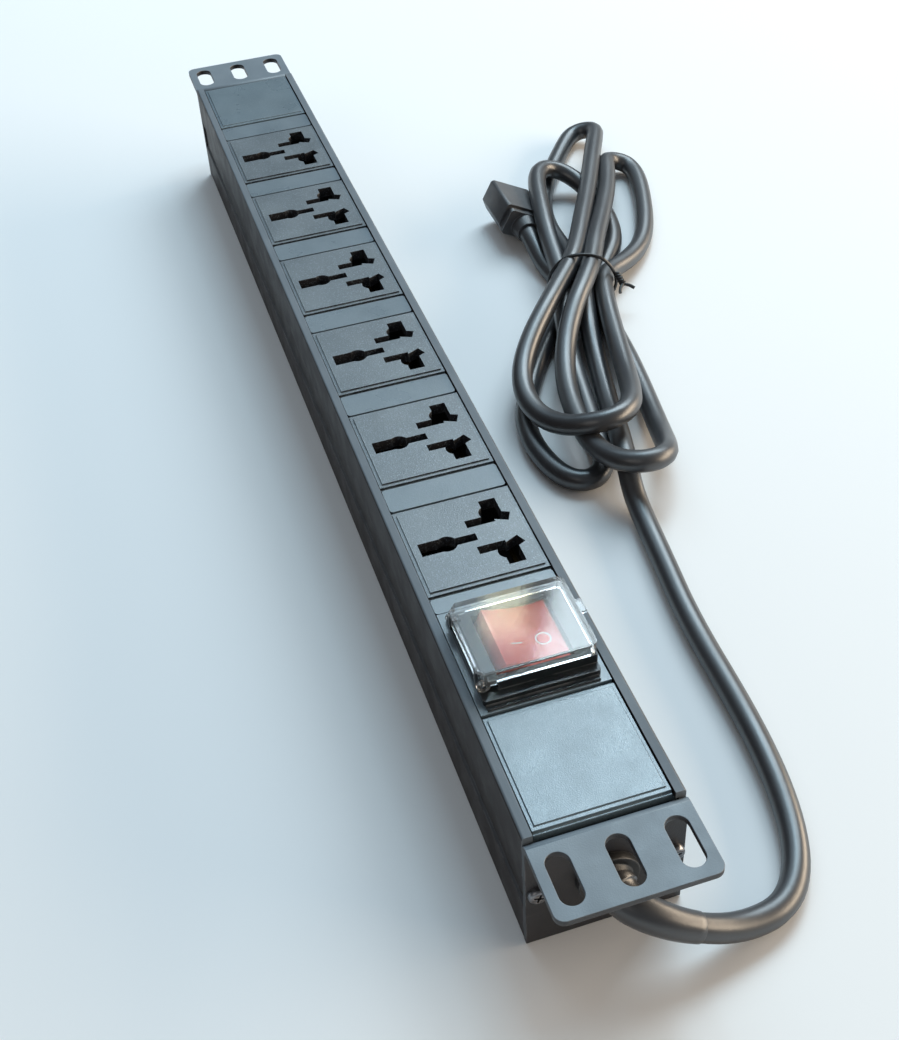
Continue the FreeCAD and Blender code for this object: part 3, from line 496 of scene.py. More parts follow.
class Tone(Enum):
    """Every finish of the strip."""

    # CHANNEL's top colours are near-black aluminium lifted to blue-grey, a painted sheen of the window
    # light.
    CHANNEL = AnodisedChannel("black_channel", (0.140, 0.165, 0.188), (0.168, 0.194, 0.218), 0.46,
                              grain_scale=2600.0, wear=0.45, scratch=0.06, dust=0.03, specular=0.12)
    # EAR's and MODULE's top colours are black paint and plastic lifted to blue-grey, a painted sheen of the
    # window light.
    EAR = DarkSided("black_ear", (0.130, 0.162, 0.190), (0.152, 0.186, 0.214), 0.46, grain_scale=2400.0,
                    grain_depth=0.00003, wear=0.3, scratch=0.04, dust=0.03, specular=0.6)
    MODULE = DarkSided("black_module", (0.074, 0.092, 0.106), (0.104, 0.126, 0.142), 0.34,
                       grain_scale=3000.0, grain_depth=0.00006, painted_glint=0.50, wear=0.35, dust=0.04,
                       wear_and_glint_colour=(0.24, 0.29, 0.33), specular=0.9)
    # PLATE's and SPACER's colours are black plastic lifted to a brighter blue-grey, a painted sheen of the
    # window light.
    PLATE = Finish("black_plate", (0.092, 0.132, 0.158), (0.112, 0.156, 0.184), 0.30, grain_scale=3200.0,
                   grain_depth=0.00004, painted_glint=0.25, wear=0.35, scratch=0.05, dust=0.03,
                   wear_and_glint_colour=(0.24, 0.29, 0.33), specular=1.0)
    SPACER = Finish("black_spacer", (0.108, 0.144, 0.170), (0.132, 0.170, 0.198), 0.30, grain_scale=2200.0,
                    grain_depth=0.00003, painted_glint=0.10, wear=0.3, scratch=0.05, dust=0.03,
                    wear_and_glint_colour=(0.24, 0.29, 0.33), specular=0.9)
    GLOSS = Finish("black_gloss", (0.012, 0.015, 0.018), (0.020, 0.026, 0.030), 0.20, grain_depth=0.000008,
                   wear=0.3, dust=0.05, specular=0.28)
    RED = RockerPlastic("red_rocker", (0.87, 0.10, 0.062), (0.92, 0.13, 0.085), 0.30, grain_depth=0.00001)
    CLEAR = ClearPlastic("clear_cover", (0.94, 0.95, 0.95), (0.98, 0.98, 0.97), 0.035,
                         grain_depth=0.000004, scratch=0.25, wear_and_glint_colour=(1.0, 1.0, 1.0))
    STEEL = Finish("zinc_steel", (0.42, 0.43, 0.45), (0.55, 0.56, 0.58), 0.28, grain_depth=0.00001,
                   metallic=1.0, scratch=0.3, wear_and_glint_colour=(0.75, 0.76, 0.78), mottle=300.0)
    DARK_STEEL = Finish("dark_screw", (0.16, 0.16, 0.17), (0.26, 0.26, 0.27), 0.32, grain_depth=0.00001,
                        metallic=1.0, wear=0.8, wear_and_glint_colour=(0.6, 0.6, 0.62), mottle=300.0)
    BRASS = Finish("brass", (0.62, 0.42, 0.16), (0.74, 0.53, 0.24), 0.25, grain_depth=0.00001,
                   metallic=1.0, scratch=0.3, wear_and_glint_colour=(0.85, 0.68, 0.40), mottle=200.0,
                   stretch=(0.3, 1.0, 1.0))
    TRAY = Finish("inner_tray", (0.015, 0.016, 0.017), (0.022, 0.023, 0.024), 0.55, grain_depth=0.00003)
    BROWN = Finish("brown_insulation", (0.10, 0.035, 0.015), (0.14, 0.05, 0.02), 0.4, grain_depth=0.00001)
    BLUE = Finish("blue_insulation", (0.02, 0.07, 0.30), (0.03, 0.09, 0.38), 0.4, grain_depth=0.00001)
    GREEN = Finish("green_insulation", (0.07, 0.28, 0.05), (0.60, 0.55, 0.04), 0.4, grain_depth=0.00001,
                   mottle=160.0)
    NYLON = Finish("gland_nylon", (0.016, 0.017, 0.018), (0.026, 0.027, 0.028), 0.42, grain_depth=0.00003,
                   wear=0.3, dust=0.1)
    SHEATH = Finish("lead_sheath", (0.024, 0.025, 0.029), (0.034, 0.036, 0.040), 0.36, mottle=25.0,
                    grain_scale=900.0, grain_depth=0.00002, dust=0.03, specular=1.0)
    PLUG = Finish("plug_moulding", (0.040, 0.040, 0.044), (0.056, 0.056, 0.060), 0.48, grain_depth=0.00004,
                  grain_scale=1500.0, wear=0.35, dust=0.08, specular=0.7)
    TIE = Finish("tie_coating", (0.014, 0.014, 0.015), (0.024, 0.024, 0.026), 0.35, grain_depth=0.00001)

    def material(self) -> bpy.types.Material:
        """Return this finish's material, built once."""
        return bpy.data.materials.get(self.value.title) or self.value.material()


def dress(piece: bpy.types.Object, tone: Tone) -> None:
    """Give an object one finish over all of its material slots."""
    material = tone.material()
    if not piece.material_slots:
        piece.data.materials.append(material)
    for place in piece.material_slots:
        place.link = "OBJECT"
        place.material = material


def deselect() -> None:
    """Leave object mode with nothing selected."""
    if bpy.context.object is not None and bpy.context.object.mode != "OBJECT":
        bpy.ops.object.mode_set(mode="OBJECT")
    bpy.ops.object.select_all(action="DESELECT")


def placed(name: str, data: bpy.types.ID) -> bpy.types.Object:
    """Put a new object with this data in the scene and return it."""
    piece = bpy.data.objects.new(name, data)
    bpy.context.scene.collection.objects.link(piece)
    return piece


def primitive(kind: str, name: str, **settings) -> bpy.types.Object:
    """Add a primitive mesh whose object stays at the origin.

    Args:
        kind: the primitive, as the operator names it.
        name: the object's name.
        settings: the operator's settings.

    Returns:
        The object, which is the active one.
    """
    deselect()
    getattr(bpy.ops.mesh, f"primitive_{kind}_add")(**settings)
    piece = bpy.context.object
    piece.name = name
    bpy.ops.object.transform_apply(location=True, rotation=True, scale=True)
    return piece


def pick(piece: bpy.types.Object, kind: str, wanted: Callable[..., bool]) -> None:
    """Select some parts of the active mesh and go on in edit mode.

    Args:
        piece: the active object.
        kind: edges or polygons.
        wanted: says whether a part is to be selected.
    """
    bpy.ops.object.mode_set(mode="EDIT")
    bpy.ops.mesh.select_all(action="DESELECT")
    bpy.ops.object.mode_set(mode="OBJECT")
    for part in getattr(piece.data, kind):
        part.select = wanted(part)
    bpy.ops.object.mode_set(mode="EDIT")


def apply_all(piece: bpy.types.Object) -> None:
    """Apply a new piece's modifiers in their order."""
    bpy.context.view_layer.objects.active = piece
    for modifier in list(piece.modifiers):
        bpy.ops.object.modifier_apply(modifier=modifier.name)


def round_corners(piece: bpy.types.Object, width: float) -> None:
    """Add a bevel of this width on a new piece's sharp edges."""
    bevel = piece.modifiers.new("rounded", "BEVEL")
    bevel.width = width
    bevel.limit_method = "ANGLE"


def soften(piece: bpy.types.Object, width: float) -> None:
    """Round a CAD node's edges with modifiers.

    Args:
        piece: the node's object.
        width: the bevel's width.
    """
    weld = piece.modifiers.new("weld", "WELD")
    weld.merge_threshold = WELD_REACH
    flat = piece.modifiers.new("flat faces", "DECIMATE")
    flat.decimate_type = "DISSOLVE"
    flat.angle_limit = FLAT_ANGLE
    bevel = piece.modifiers.new("rounded edges", "BEVEL")
    bevel.width = width
    bevel.segments = BEVEL_SEGMENTS
    bevel.limit_method = "ANGLE"
    bevel.angle_limit = SHARP_ANGLE
    bevel.harden_normals = True
    bevel.use_clamp_overlap = True


@dataclass
class NodeFinish:
    """A CAD node's finish and how far its edges are rounded."""

    node: str
    tone: Tone
    edge: float = 0.0

    def apply(self) -> None:
        """Dress the node and round its edges."""
        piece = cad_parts[self.node]
        dress(piece, self.tone)
        if self.edge:
            soften(piece, self.edge)


# Studio


@dataclass
class Camera:
    """The camera's place and turn, with its lens."""

    place: Place = (0.422086, -0.092065, 0.352222)
    right: Place = (0.30877, 0.95006, -0.04522)
    up: Place = (-0.61833, 0.23663, 0.74945)
    back: Place = (0.72273, -0.20345, 0.66051)
    lens: float = 51.42
    sensor: float = 36.0
    shift: tuple[float, float] = (-0.00302, -0.03319)
    nearest: float = 0.01

    def build(self) -> None:
        """Make the camera and set it as the scene's."""
        data = bpy.data.cameras.new("camera")
        data.lens = self.lens
        data.sensor_width = self.sensor
        data.shift_x, data.shift_y = self.shift
        data.clip_start = self.nearest
        camera = placed("camera", data)
        turn = Matrix((self.right, self.up, self.back)).transposed().to_4x4()
        camera.matrix_world = Matrix.Translation(self.place) @ turn
        bpy.context.scene.camera = camera


@dataclass
class Lamp:
    """A soft rectangular lamp."""

    name: str
    place: Place
    aim: Place
    size: tuple[float, float]
    power: float
    colour: Colour

    def build(self) -> None:
        """Make the lamp and turn it to its aim."""
        data = bpy.data.lights.new(self.name, "AREA")
        data.shape = "RECTANGLE"
        data.size, data.size_y = self.size
        data.energy = self.power
        data.color = self.colour
        lamp = placed(self.name, data)
        way = Vector(self.aim) - Vector(self.place)
        turn = way.to_track_quat("-Z", "Y").to_matrix().to_4x4()
        lamp.matrix_world = Matrix.Translation(self.place) @ turn


@dataclass
class Studio:
    """The pale floor, the surrounding light and the lamps."""

    floor_half: float = 3.0
    floor_colour: Colour = (0.88, 0.88, 0.88)
    sky_colour: Colour = (0.86, 0.93, 1.0)
    sky_level: float = 0.20
    lamps: list[Lamp] = field(default_factory=lambda: [
        Lamp("window", (-1.660, 1.622, 2.05), (0.0, 0.0, 0.0), (1.6, 1.5), 58.0, (0.76, 0.91, 1.0)),
        Lamp("sky_panel", (-1.60, -0.11, 2.10), (0.0, 0.0, 0.0), (1.4, 1.7), 11.0, (0.62, 0.84, 1.0)),
        Lamp("near_sky", (-1.06, 0.61, 2.08), (-1.06, 0.61, 0.0), (0.84, 0.8), 17.0, (0.58, 0.84, 1.0)),
        Lamp("pale_card", (-1.533, 0.549, 1.877), (0.15, 0.0, 0.05), (0.085, 0.13), 0.18, (1.0, 1.0, 0.72)),
        Lamp("warm_side", (0.4, 1.9, 0.48), (0.0, 0.1, 0.0), (2.2, 0.8), 48.0, (1.0, 0.82, 0.62)),
        Lamp("front_fill", (1.3, -1.6, 1.6), (0.1, 0.0, 0.0), (1.6, 1.2), 5.0, (1.0, 0.93, 0.86)),
    ])

    def floor(self) -> None:
        """Make the pale floor."""
        floor = primitive("plane", "floor", size=2 * self.floor_half, location=(0.0, 0.0, 0.0))
        material = bpy.data.materials.new("floor_paper")
        material.use_nodes = True
        shader = material.node_tree.nodes["Principled BSDF"]
        shader.inputs["Base Color"].default_value = (*self.floor_colour, 1.0)
        shader.inputs["Roughness"].default_value = 0.9
        shader.inputs["Specular IOR Level"].default_value = 0.1
        floor.data.materials.append(material)

    def sky(self) -> None:
        """Make the surrounding light, which the camera sees at full brightness."""
        world = bpy.data.worlds.new("surroundings")
        world.use_nodes = True
        graph = Graph(world.node_tree)
        background = world.node_tree.nodes["Background"]
        background.inputs["Color"].default_value = (*self.sky_colour, 1.0)
        path = graph.add("LightPath")
        level = graph.math("MULTIPLY", path.outputs["Is Camera Ray"], 1.0 - self.sky_level)
        graph.join(graph.math("ADD", level, self.sky_level), background.inputs["Strength"])
        bpy.context.scene.world = world

    def build(self) -> None:
        """Make the floor, the sky and the lamps."""
        self.floor()
        self.sky()
        for lamp in self.lamps:
            lamp.build()
        bpy.context.scene.view_settings.view_transform = "Standard"


# Mains lead


@dataclass
class Loop:
    """One loop of the hank: where it leaves the tie, and the places that it passes."""

    name: str
    start: Place
    places: list[Place]


@dataclass
class WireTie:
    """The coated wire tie's sizes; its outline is how far across the waist and how high."""

    wire: float = 0.0007
    ahead: float = 0.004
    slack: float = 1.04
    outline: tuple[tuple[float, float], ...] = (
        (0.0, 0.0008), (0.0092, 0.0009), (0.0128, 0.0062), (0.0136, 0.0115), (0.0113, 0.0172),
        (0.0070, 0.0222), (0.0, 0.0236), (-0.0070, 0.0222), (-0.0113, 0.0172), (-0.0136, 0.0115),
        (-0.0128, 0.0062), (-0.0092, 0.0009),
    )
    knot: tuple[float, float] = (0.0138, 0.0140)
    way: Place = (0.90, 0.16, -0.40)
    twist_steps: int = 13
    twist_turn: float = math.pi / 3.0
    twist_pitch: float = 0.00042
    twist_radius: float = 0.0009
    end_ahead: float = 0.0070
    end_aside: float = 0.0024
    tip_ahead: float = 0.002
    tip_aside: float = 0.0010


@dataclass
class Sleeve:
    """The tapered strain sleeve's sizes; its first rings are a flange, and the rest narrow to the lead."""

    start: float = 0.0042
    sides: int = 28
    radius: float = 0.0061
    neck: float = 0.0055
    taper: float = 0.0013
    taper_power: float = 0.8
    rings: int = 14
    ring_length: float = 0.0017
    tip_radius: float = 0.00405
    wall: float = 0.0002
    corner: float = 0.0001
    guide_points: int = 14

    def steps(self) -> list[tuple[float, float]]:
        """Return each ring after the first: how far ahead of the last it is, and its radius."""
        steps = [(0.0002, self.radius), (0.0022, self.radius), (0.0003, self.neck)]
        for ring in range(1, self.rings + 1):
            narrower = self.taper * (ring / self.rings) ** self.taper_power
            steps.append((self.ring_length, self.neck - narrower))
        return steps + [(0.0003, self.tip_radius)]


@dataclass
class MainsLead:
    """The mains lead: its run from the gland, its tied hank, its tie, its sleeve and its plug."""

    radius: float = 0.004
    low: float = 0.00405
    waist: tuple[float, float] = (-0.057, 0.1035)
    waist_across: tuple[float, float] = (0.342, 0.94)
    length: float = 1.88
    wire_tie: WireTie = field(default_factory=WireTie)
    strain_sleeve: Sleeve = field(default_factory=Sleeve)
    run: list[Place] = field(default_factory=lambda: [
        (0.2188, 0.0, 0.0222), (0.2258, 0.0, 0.0222), (0.2323, 0.005, 0.0202), (0.2363, 0.016, 0.0138),
        (0.2368, 0.031, 0.0062), (0.2338, 0.046, 0.00405), (0.2218, 0.056, 0.00405),
        (0.2008, 0.062, 0.00405), (0.1728, 0.065, 0.00405), (0.1308, 0.0656, 0.00405),
        (0.1008, 0.0692, 0.00405), (0.078, 0.0716, 0.00405), (0.068, 0.0724, 0.007),
        (0.061, 0.0735, 0.0115), (0.052, 0.0755, 0.0121), (0.042, 0.0785, 0.0095),
        (0.032, 0.0815, 0.006), (0.020, 0.084, 0.00405), (0.004, 0.0875, 0.00405),
        (-0.012, 0.091, 0.005), (-0.028, 0.0945, 0.009), (-0.042, 0.0985, 0.0115),
    ])
    end: list[Place] = field(default_factory=lambda: [
        (-0.070, 0.0962, 0.00405), (-0.080, 0.0952, 0.0046), (-0.089, 0.0950, 0.0070),
        (-0.096, 0.0950, 0.0090), (-0.103, 0.0950, 0.0093),
    ])

    def at_waist(self, across: float, height: float) -> Place:
        """Return the place of a strand where the tie holds it."""
        return (
            self.waist[0] + self.waist_across[0] * across,
            self.waist[1] + self.waist_across[1] * across,
            height,
        )

    def loops(self) -> list[Loop]:
        """Return the hank's six loops, in the lead's own order.

        Returns:
            The loops, by turns at the two ends of the hank.
        """
        low = self.low
        return [
            Loop("far_long", self.at_waist(0.0, 0.0115), [
                (-0.073, 0.1052, 0.0088), (-0.090, 0.1062, 0.006), (-0.108, 0.1075, 0.0045),
                (-0.126, 0.112, low), (-0.143, 0.1202, low), (-0.158, 0.130, low),
                (-0.1695, 0.138, low), (-0.179, 0.1455, 0.0044), (-0.1802, 0.1508, 0.0056),
                (-0.1775, 0.155, 0.007), (-0.1727, 0.1562, 0.0083), (-0.165, 0.153, 0.0095),
                (-0.1525, 0.1468, 0.0108), (-0.133, 0.1377, 0.0124), (-0.110, 0.1266, 0.0145),
                (-0.088, 0.1155, 0.0168), (-0.0725, 0.1078, 0.0178),
            ]),
            Loop("near_upper", self.at_waist(-0.004, 0.0185), [
                (-0.0445, 0.089, 0.019), (-0.030, 0.0777, 0.0195), (-0.015, 0.0652, 0.017),
                (0.0, 0.056, 0.0142), (0.0145, 0.0525, 0.013), (0.028, 0.0543, 0.0132),
                (0.0388, 0.0595, 0.0165), (0.0455, 0.067, 0.0205), (0.046, 0.0755, 0.0213),
                (0.0405, 0.083, 0.020), (0.0295, 0.0885, 0.0165), (0.014, 0.093, 0.0132),
                (-0.007, 0.098, 0.0121), (-0.028, 0.103, 0.0121), (-0.042, 0.107, 0.0118),
            ]),
            Loop("far_side", self.at_waist(0.0085, 0.011), [
                (-0.066, 0.127, 0.0065), (-0.0765, 0.1375, 0.0045), (-0.088, 0.145, low),
                (-0.102, 0.1512, low), (-0.118, 0.1568, low), (-0.1315, 0.1605, low),
                (-0.1412, 0.1615, low), (-0.1452, 0.159, 0.0052), (-0.1466, 0.1545, 0.0066),
                (-0.1447, 0.1502, 0.0082), (-0.139, 0.148, 0.0092), (-0.130, 0.1446, 0.010),
                (-0.117, 0.139, 0.0112), (-0.102, 0.1315, 0.0132), (-0.086, 0.123, 0.0155),
                (-0.0705, 0.1145, 0.0175),
            ]),
            Loop("near_high", self.at_waist(0.004, 0.0185), [
                (-0.042, 0.099, 0.0195), (-0.027, 0.088, 0.0187), (-0.010, 0.0777, 0.0148),
                (0.008, 0.0707, 0.0122), (0.026, 0.067, 0.0121), (0.0425, 0.0655, 0.0128),
                (0.0553, 0.0662, 0.015), (0.064, 0.0692, 0.0175), (0.069, 0.075, 0.019),
                (0.069, 0.0817, 0.0185), (0.064, 0.0872, 0.016), (0.055, 0.0908, 0.0115),
                (0.043, 0.0942, 0.007), (0.026, 0.0978, 0.0045), (0.008, 0.1007, low),
                (-0.010, 0.103, low), (-0.028, 0.1043, low), (-0.043, 0.1053, low),
            ]),
            Loop("far_short", self.at_waist(0.0042, low), [
                (-0.070, 0.119, low), (-0.086, 0.1302, low), (-0.103, 0.1347, low),
                (-0.119, 0.1357, low), (-0.1312, 0.1335, 0.0065), (-0.1397, 0.1275, 0.010),
                (-0.1417, 0.1202, 0.0128), (-0.1365, 0.1135, 0.0145), (-0.1245, 0.1087, 0.015),
                (-0.108, 0.1045, 0.015), (-0.094, 0.1012, 0.0143), (-0.080, 0.0985, 0.013),
            ]),
            Loop("near_low", self.at_waist(-0.0085, 0.011), [
                (-0.048, 0.0915, 0.0112), (-0.035, 0.0867, 0.0107), (-0.020, 0.0825, 0.0075),
                (-0.004, 0.0795, 0.0045), (0.013, 0.0767, low), (0.028, 0.074, low),
                (0.040, 0.0722, low), (0.049, 0.070, low), (0.055, 0.0652, low), (0.0555, 0.0587, low),
                (0.0505, 0.0537, low), (0.0415, 0.0508, low), (0.0285, 0.0497, low),
                (0.014, 0.0522, low), (0.0, 0.059, low), (-0.015, 0.0677, low), (-0.029, 0.0775, low),
                (-0.043, 0.0882, low),
            ]),
        ]

    def hank_points(self) -> list[Vector]:
        """Return the hank's points, loop after loop, up to where the tie holds its last strand."""
        points = [Vector(place) for loop in self.loops() for place in (loop.start, *loop.places)]
        return points + [Vector(self.at_waist(-0.0042, self.low))]

    def route(self) -> list[Vector]:
        """Return the whole lead's control points."""
        return [Vector(p) for p in self.run] + self.hank_points() + [Vector(p) for p in self.end]

    def line(self, name: str, points: list[Vector], depth: float, cyclic: bool = False) -> bpy.types.Object:
        """Make a smooth round line through control points.

        Args:
            name: the object's name.
            points: the control points.
            depth: the radius, or 0 for a guide.
            cyclic: whether the line closes on itself.

        Returns:
            The curve object.
        """
        curve = bpy.data.curves.new(name, "CURVE")
        curve.dimensions = "3D"
        self.add_spline(curve, points, cyclic)
        curve.resolution_u = 6
        curve.bevel_depth = depth
        curve.bevel_resolution = 4
        curve.use_fill_caps = depth > 0.0
        return placed(name, curve)

    @staticmethod
    def add_spline(curve: bpy.types.Curve, points: list[Vector], cyclic: bool = False) -> None:
        """Add one NURBS spline through control points."""
        spline = curve.splines.new("NURBS")
        spline.points.add(len(points) - 1)
        for target, point in zip(spline.points, points):
            target.co = (*point, 1.0)
        spline.order_u = 3
        if cyclic:
            spline.use_cyclic_u = True
        else:
            spline.use_endpoint_u = True

    def sleeve(self) -> bpy.types.Object:
        """Model the tapered sleeve where the lead leaves the gland.

        Returns:
            The sleeve.
        """
        sizes = self.strain_sleeve
        radius = sizes.radius
        sleeve = primitive("circle", "strain_sleeve", vertices=sizes.sides, radius=radius,
                           fill_type="NOTHING", location=(0.0, 0.0, 0.0), rotation=(0.0, math.pi / 2, 0.0))
        bpy.ops.object.mode_set(mode="EDIT")
        bpy.ops.mesh.select_all(action="SELECT")
        for ahead, wanted in sizes.steps():
            bpy.ops.mesh.extrude_region_move(TRANSFORM_OT_translate={"value": (ahead, 0.0, 0.0)})
            factor = wanted / radius
            bpy.ops.transform.resize(value=(1.0, factor, factor))
            radius = wanted
        bpy.ops.mesh.select_all(action="SELECT")
        bpy.ops.mesh.normals_make_consistent(inside=False)
        bpy.ops.object.mode_set(mode="OBJECT")
        solid = sleeve.modifiers.new("wall", "SOLIDIFY")
        solid.thickness = sizes.wall
        round_corners(sleeve, sizes.corner)
        apply_all(sleeve)
        sleeve.data.transform(Matrix.Translation((sizes.start, 0.0, 0.0)))
        guide = self.line("sleeve_guide", self.route()[:sizes.guide_points], 0.0)
        follow = sleeve.modifiers.new("follow", "CURVE")
        follow.object = guide
        follow.deform_axis = "POS_X"
        apply_all(sleeve)
        bpy.data.objects.remove(guide)
        bpy.ops.object.shade_smooth_by_angle(angle=SMOOTH_ANGLE)
        return sleeve

    def tie(self) -> bpy.types.Object:
        """Model the coated wire tie: a loop round the waist and two twisted ends.

        Returns:
            The tie.
        """
        sizes = self.wire_tie
        ahead = Vector((self.waist_across[1], -self.waist_across[0], 0.0)) * sizes.ahead
        loop = [Vector(self.at_waist(across * sizes.slack, height)) + ahead
                for across, height in sizes.outline]
        tie = self.line("wire_tie", loop, sizes.wire, cyclic=True)
        root = Vector(self.at_waist(*sizes.knot)) + ahead
        along = Vector(sizes.way).normalized()
        side = along.cross(Vector((0.0, 0.0, 1.0))).normalized()
        rise = side.cross(along)
        for phase in (0.0, math.pi):
            turns = []
            for step in range(sizes.twist_steps):
                angle = phase + step * sizes.twist_turn
                offset = side * math.cos(angle) + rise * math.sin(angle)
                turns.append(root + along * (step * sizes.twist_pitch) + offset * sizes.twist_radius)
            spread = side if phase else -side
            ending = root + along * sizes.end_ahead + spread * sizes.end_aside
            tip = ending + along * sizes.tip_ahead + spread * sizes.tip_aside
            self.add_spline(tie.data, turns + [ending, tip])
        return tie

    def build(self) -> None:
        lead = self.line("mains_lead", self.route(), self.radius)
        sleeve = self.sleeve()
        tie = self.tie()
        for piece, tone in ((lead, Tone.SHEATH), (sleeve, Tone.SHEATH), (tie, Tone.TIE)):
            dress(piece, tone)
            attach(piece, "chassis")
        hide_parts("power_cord", "cord_hank")
        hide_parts("cord_tie")
        for node, tone, edge in (("plug_body", Tone.PLUG, 0.0006), ("plug_pins", Tone.BRASS, 0.0002),
                                 ("cord_gland", Tone.NYLON, 0.0002), ("gland_nut", Tone.NYLON, 0.0002),
                                 ("sheath_end", Tone.SHEATH, 0.0)):
            NodeFinish(node, tone, edge).apply()
        names = ", ".join(loop.name for loop in self.loops())
        log.info("mains lead with %d control points and the loops %s", len(self.route()), names)


# Fasteners


@dataclass
class EndScrews:
    """The four cross-headed screws that hold the rack ears to the channel."""

    head_radius: float = 0.0027
    head_height: float = 0.0019
    head_bevel: float = 0.0009
    shank_radius: float = 0.0014
    threads: int = 9
    thread_in: float = 0.0004
    thread_out: float = 0.0005
    thread_root: float = 0.86
    recess: Place = (0.0031, 0.00075, 0.0020)
    smooth_angle: float = math.radians(30)
    seat_x: float = 0.2188
    place_y: float = 0.019
    place_z: float = 0.0225
    first_spin: float = 0.5
    spin_step: float = 0.7

    def cut_recess(self, screw: bpy.types.Object, turn: float) -> None:
        """Cut one slot of the cross into the head.

        Args:
            screw: the screw.
            turn: the slot's angle about the screw's axis.
        """
        bpy.ops.mesh.primitive_cube_add(size=1.0, location=(0.0, 0.0, self.head_height),
                                        rotation=(0.0, 0.0, turn), scale=self.recess)
        blade = bpy.context.object
        cut = screw.modifiers.new("recess", "BOOLEAN")
        cut.operation = "DIFFERENCE"
        cut.object = blade
        deselect()
        screw.select_set(True)
        apply_all(screw)
        bpy.data.objects.remove(blade)

    def model(self) -> bpy.types.Object:
        """Model one screw that points along +X from the origin.

        Returns:
            The screw.
        """
        screw = primitive("cylinder", "ear_screw_1", vertices=32, radius=self.head_radius,
                          depth=self.head_height, location=(0.0, 0.0, self.head_height / 2))
        top = self.head_height * 0.9
        pick(screw, "edges", lambda edge: min(screw.data.vertices[v].co.z for v in edge.vertices) > top)
        bpy.ops.mesh.bevel(offset=self.head_bevel, segments=4, affect="EDGES")
        pick(screw, "polygons", lambda face: face.normal.z < -0.9)
        bpy.ops.mesh.inset(thickness=self.head_radius - self.shank_radius)
        thread = ((self.thread_in, self.thread_root), (self.thread_out, 1.0 / self.thread_root))
        for down, factor in thread * self.threads:
            bpy.ops.mesh.extrude_region_move(TRANSFORM_OT_translate={"value": (0.0, 0.0, -down)})
            bpy.ops.transform.resize(value=(factor, factor, 1.0))
        bpy.ops.object.mode_set(mode="OBJECT")
        for turn in (0.0, math.pi / 2):
            self.cut_recess(screw, turn)
        bpy.ops.object.shade_smooth_by_angle(angle=self.smooth_angle)
        screw.data.transform(Matrix.Rotation(math.pi / 2, 4, "Y"))
        return screw

    def build(self) -> None:
        """Make the four screws in their places."""
        first = self.model()
        places = [(end, side) for end in (1, -1) for side in (1, -1)]
        screws = [first]
        for number in range(2, len(places) + 1):
            screws.append(placed(f"ear_screw_{number}", first.data.copy()))
        for index, (screw, (end, side)) in enumerate(zip(screws, places)):
            spin = Matrix.Rotation(self.first_spin + self.spin_step * index, 4, "X")
            facing = Matrix.Identity(4) if end > 0 else Matrix.Rotation(math.pi, 4, "Z")
            place = Matrix.Translation((end * self.seat_x, side * self.place_y, self.place_z))
            screw.data.transform(place @ facing @ spin)
            dress(screw, Tone.DARK_STEEL)
            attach(screw, "chassis")
        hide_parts("end_screws")
        log.info("four ear screws")


# Channel, modules and wiring


@dataclass
class Chassis:
    """The channel, its ears, its modules and what they hold."""

    modules: int = 6

    def build(self) -> None:
        """Dress each node of the chassis."""
        finishes = [
            NodeFinish("housing", Tone.CHANNEL, 0.00025),
            NodeFinish("end_bracket_lead", Tone.EAR, 0.0003),
            NodeFinish("end_bracket_far", Tone.EAR, 0.0003),
            NodeFinish("label_plate", Tone.PLATE, 0.0002),
            NodeFinish("blank_plate", Tone.PLATE, 0.0002),
            NodeFinish("switch_plate", Tone.SPACER, 0.0002),
            NodeFinish("narrow_spacer", Tone.SPACER, 0.0003),
            NodeFinish("tray_screws", Tone.STEEL, 0.0002),
            NodeFinish("earth_screw", Tone.STEEL, 0.0002),
            NodeFinish("earth_lug", Tone.BRASS, 0.0001),
            NodeFinish("live_busbar", Tone.BRASS),
            NodeFinish("neutral_busbar", Tone.BRASS),
            NodeFinish("earth_busbar", Tone.BRASS),
            NodeFinish("switch_terminals", Tone.BRASS, 0.0001),
        ]
        for index in range(1, self.modules + 1):
            for stem, tone, edge in (("socket_face", Tone.MODULE, 0.0002),
                                     ("socket_tray", Tone.TRAY, 0.0002),
                                     ("spacer", Tone.SPACER, 0.0003)):
                finishes.append(NodeFinish(f"{stem}_{index}", tone, edge))
        for name, tone in (("live", Tone.BROWN), ("neutral", Tone.BLUE), ("earth", Tone.GREEN)):
            for way in ("in", "out"):
                finishes.append(NodeFinish(f"{name}_wire_{way}", tone))
        for finish in finishes:
            finish.apply()
        log.info("chassis: %d nodes dressed", len(finishes))


# Switch


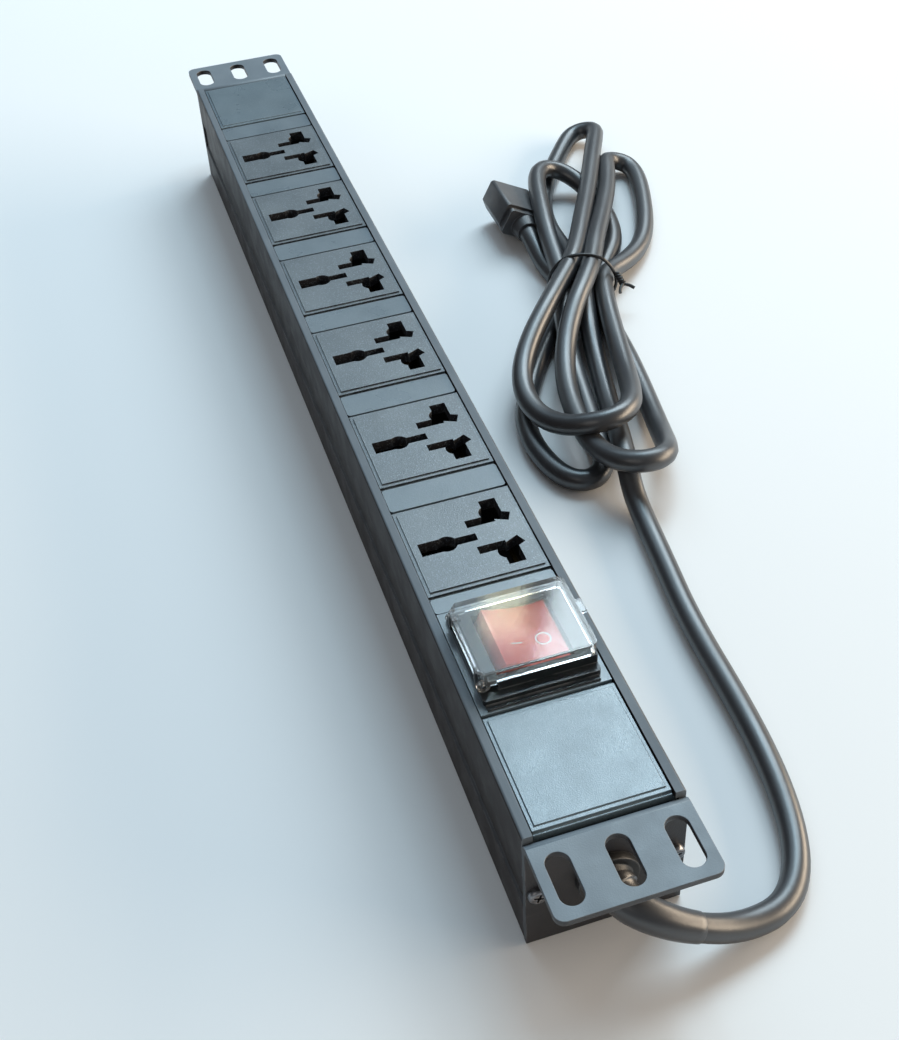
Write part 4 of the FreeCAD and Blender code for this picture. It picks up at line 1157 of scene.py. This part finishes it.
@dataclass
class Switch:
    """The rocker switch with its frame and clear cover."""

    ledge_length: float = 0.0326
    ledge_width: float = 0.0019
    ledge_height: float = 0.0007
    ledge_corner: float = 0.00006
    grooves: int = 3
    groove_half: float = 0.12
    groove_depth: float = 0.5

    def ledge(self) -> bpy.types.Object:
        """Model the low ribbed ledge at the lead side of the switch's frame.

        Returns:
            The ledge.
        """
        low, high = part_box("switch_bezel")
        middle = (high[0] + self.ledge_width / 2, (low[1] + high[1]) / 2, low[2] + self.ledge_height / 2)
        ledge = primitive("cube", "bezel_ledge", size=1.0, location=middle,
                          scale=(self.ledge_width, self.ledge_length, self.ledge_height))
        bpy.ops.object.mode_set(mode="EDIT")
        spacing = self.ledge_width / (self.grooves + 1)
        for groove in range(1, self.grooves + 1):
            for side in (-self.groove_half, self.groove_half):
                bpy.ops.mesh.select_all(action="SELECT")
                place = high[0] + spacing * (groove + side)
                bpy.ops.mesh.bisect(plane_co=(place, 0.0, 0.0), plane_no=(1.0, 0.0, 0.0))

        def in_groove(face: bpy.types.MeshPolygon) -> bool:
            """Say whether a face is the top of a groove."""
            groove = (face.center.x - high[0]) / spacing
            return face.normal.z > 0.9 and groove > 0.5 and abs(groove - round(groove)) < 0.1

        pick(ledge, "polygons", in_groove)
        bpy.ops.transform.translate(value=(0.0, 0.0, -self.ledge_height * self.groove_depth))
        bpy.ops.object.mode_set(mode="OBJECT")
        round_corners(ledge, self.ledge_corner)
        apply_all(ledge)
        bpy.ops.object.shade_smooth_by_angle(angle=SMOOTH_ANGLE)
        return ledge

    def build(self) -> None:
        """Dress the switch's nodes and add the ledge."""
        ledge = self.ledge()
        dress(ledge, Tone.GLOSS)
        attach(ledge, "chassis")
        for node, tone, edge in (("switch_bezel", Tone.GLOSS, 0.0003), ("switch_body", Tone.GLOSS, 0.0002),
                                 ("rocker", Tone.RED, 0.0004), ("flip_cover", Tone.CLEAR, 0.0004),
                                 ("hinge_pin", Tone.STEEL, 0.0001)):
            NodeFinish(node, tone, edge).apply()
        log.info("switch dressed")


def check_dressed() -> None:
    """Report every CAD node that still has its plain finish."""
    for name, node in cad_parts.items():
        for place in node.material_slots:
            if place.material is None or not place.material.name.endswith("_finish"):
                log.warning("no finish on %s", name)


def main() -> None:
    """Build the studio, the lead and every assembly in order."""
    logging.basicConfig(level=logging.INFO, format="%(name)s: %(message)s")
    Camera().build()
    Studio().build()
    EFFECTS.update({tree.name: tree for tree in (
        Effects.grain(), Effects.edge_wear(), Effects.scratches(), Effects.dust())})
    MainsLead().build()
    EndScrews().build()
    Chassis().build()
    Switch().build()
    check_dressed()


if __name__ == "__main__":
    main()
    bpy.context.view_layer.update()
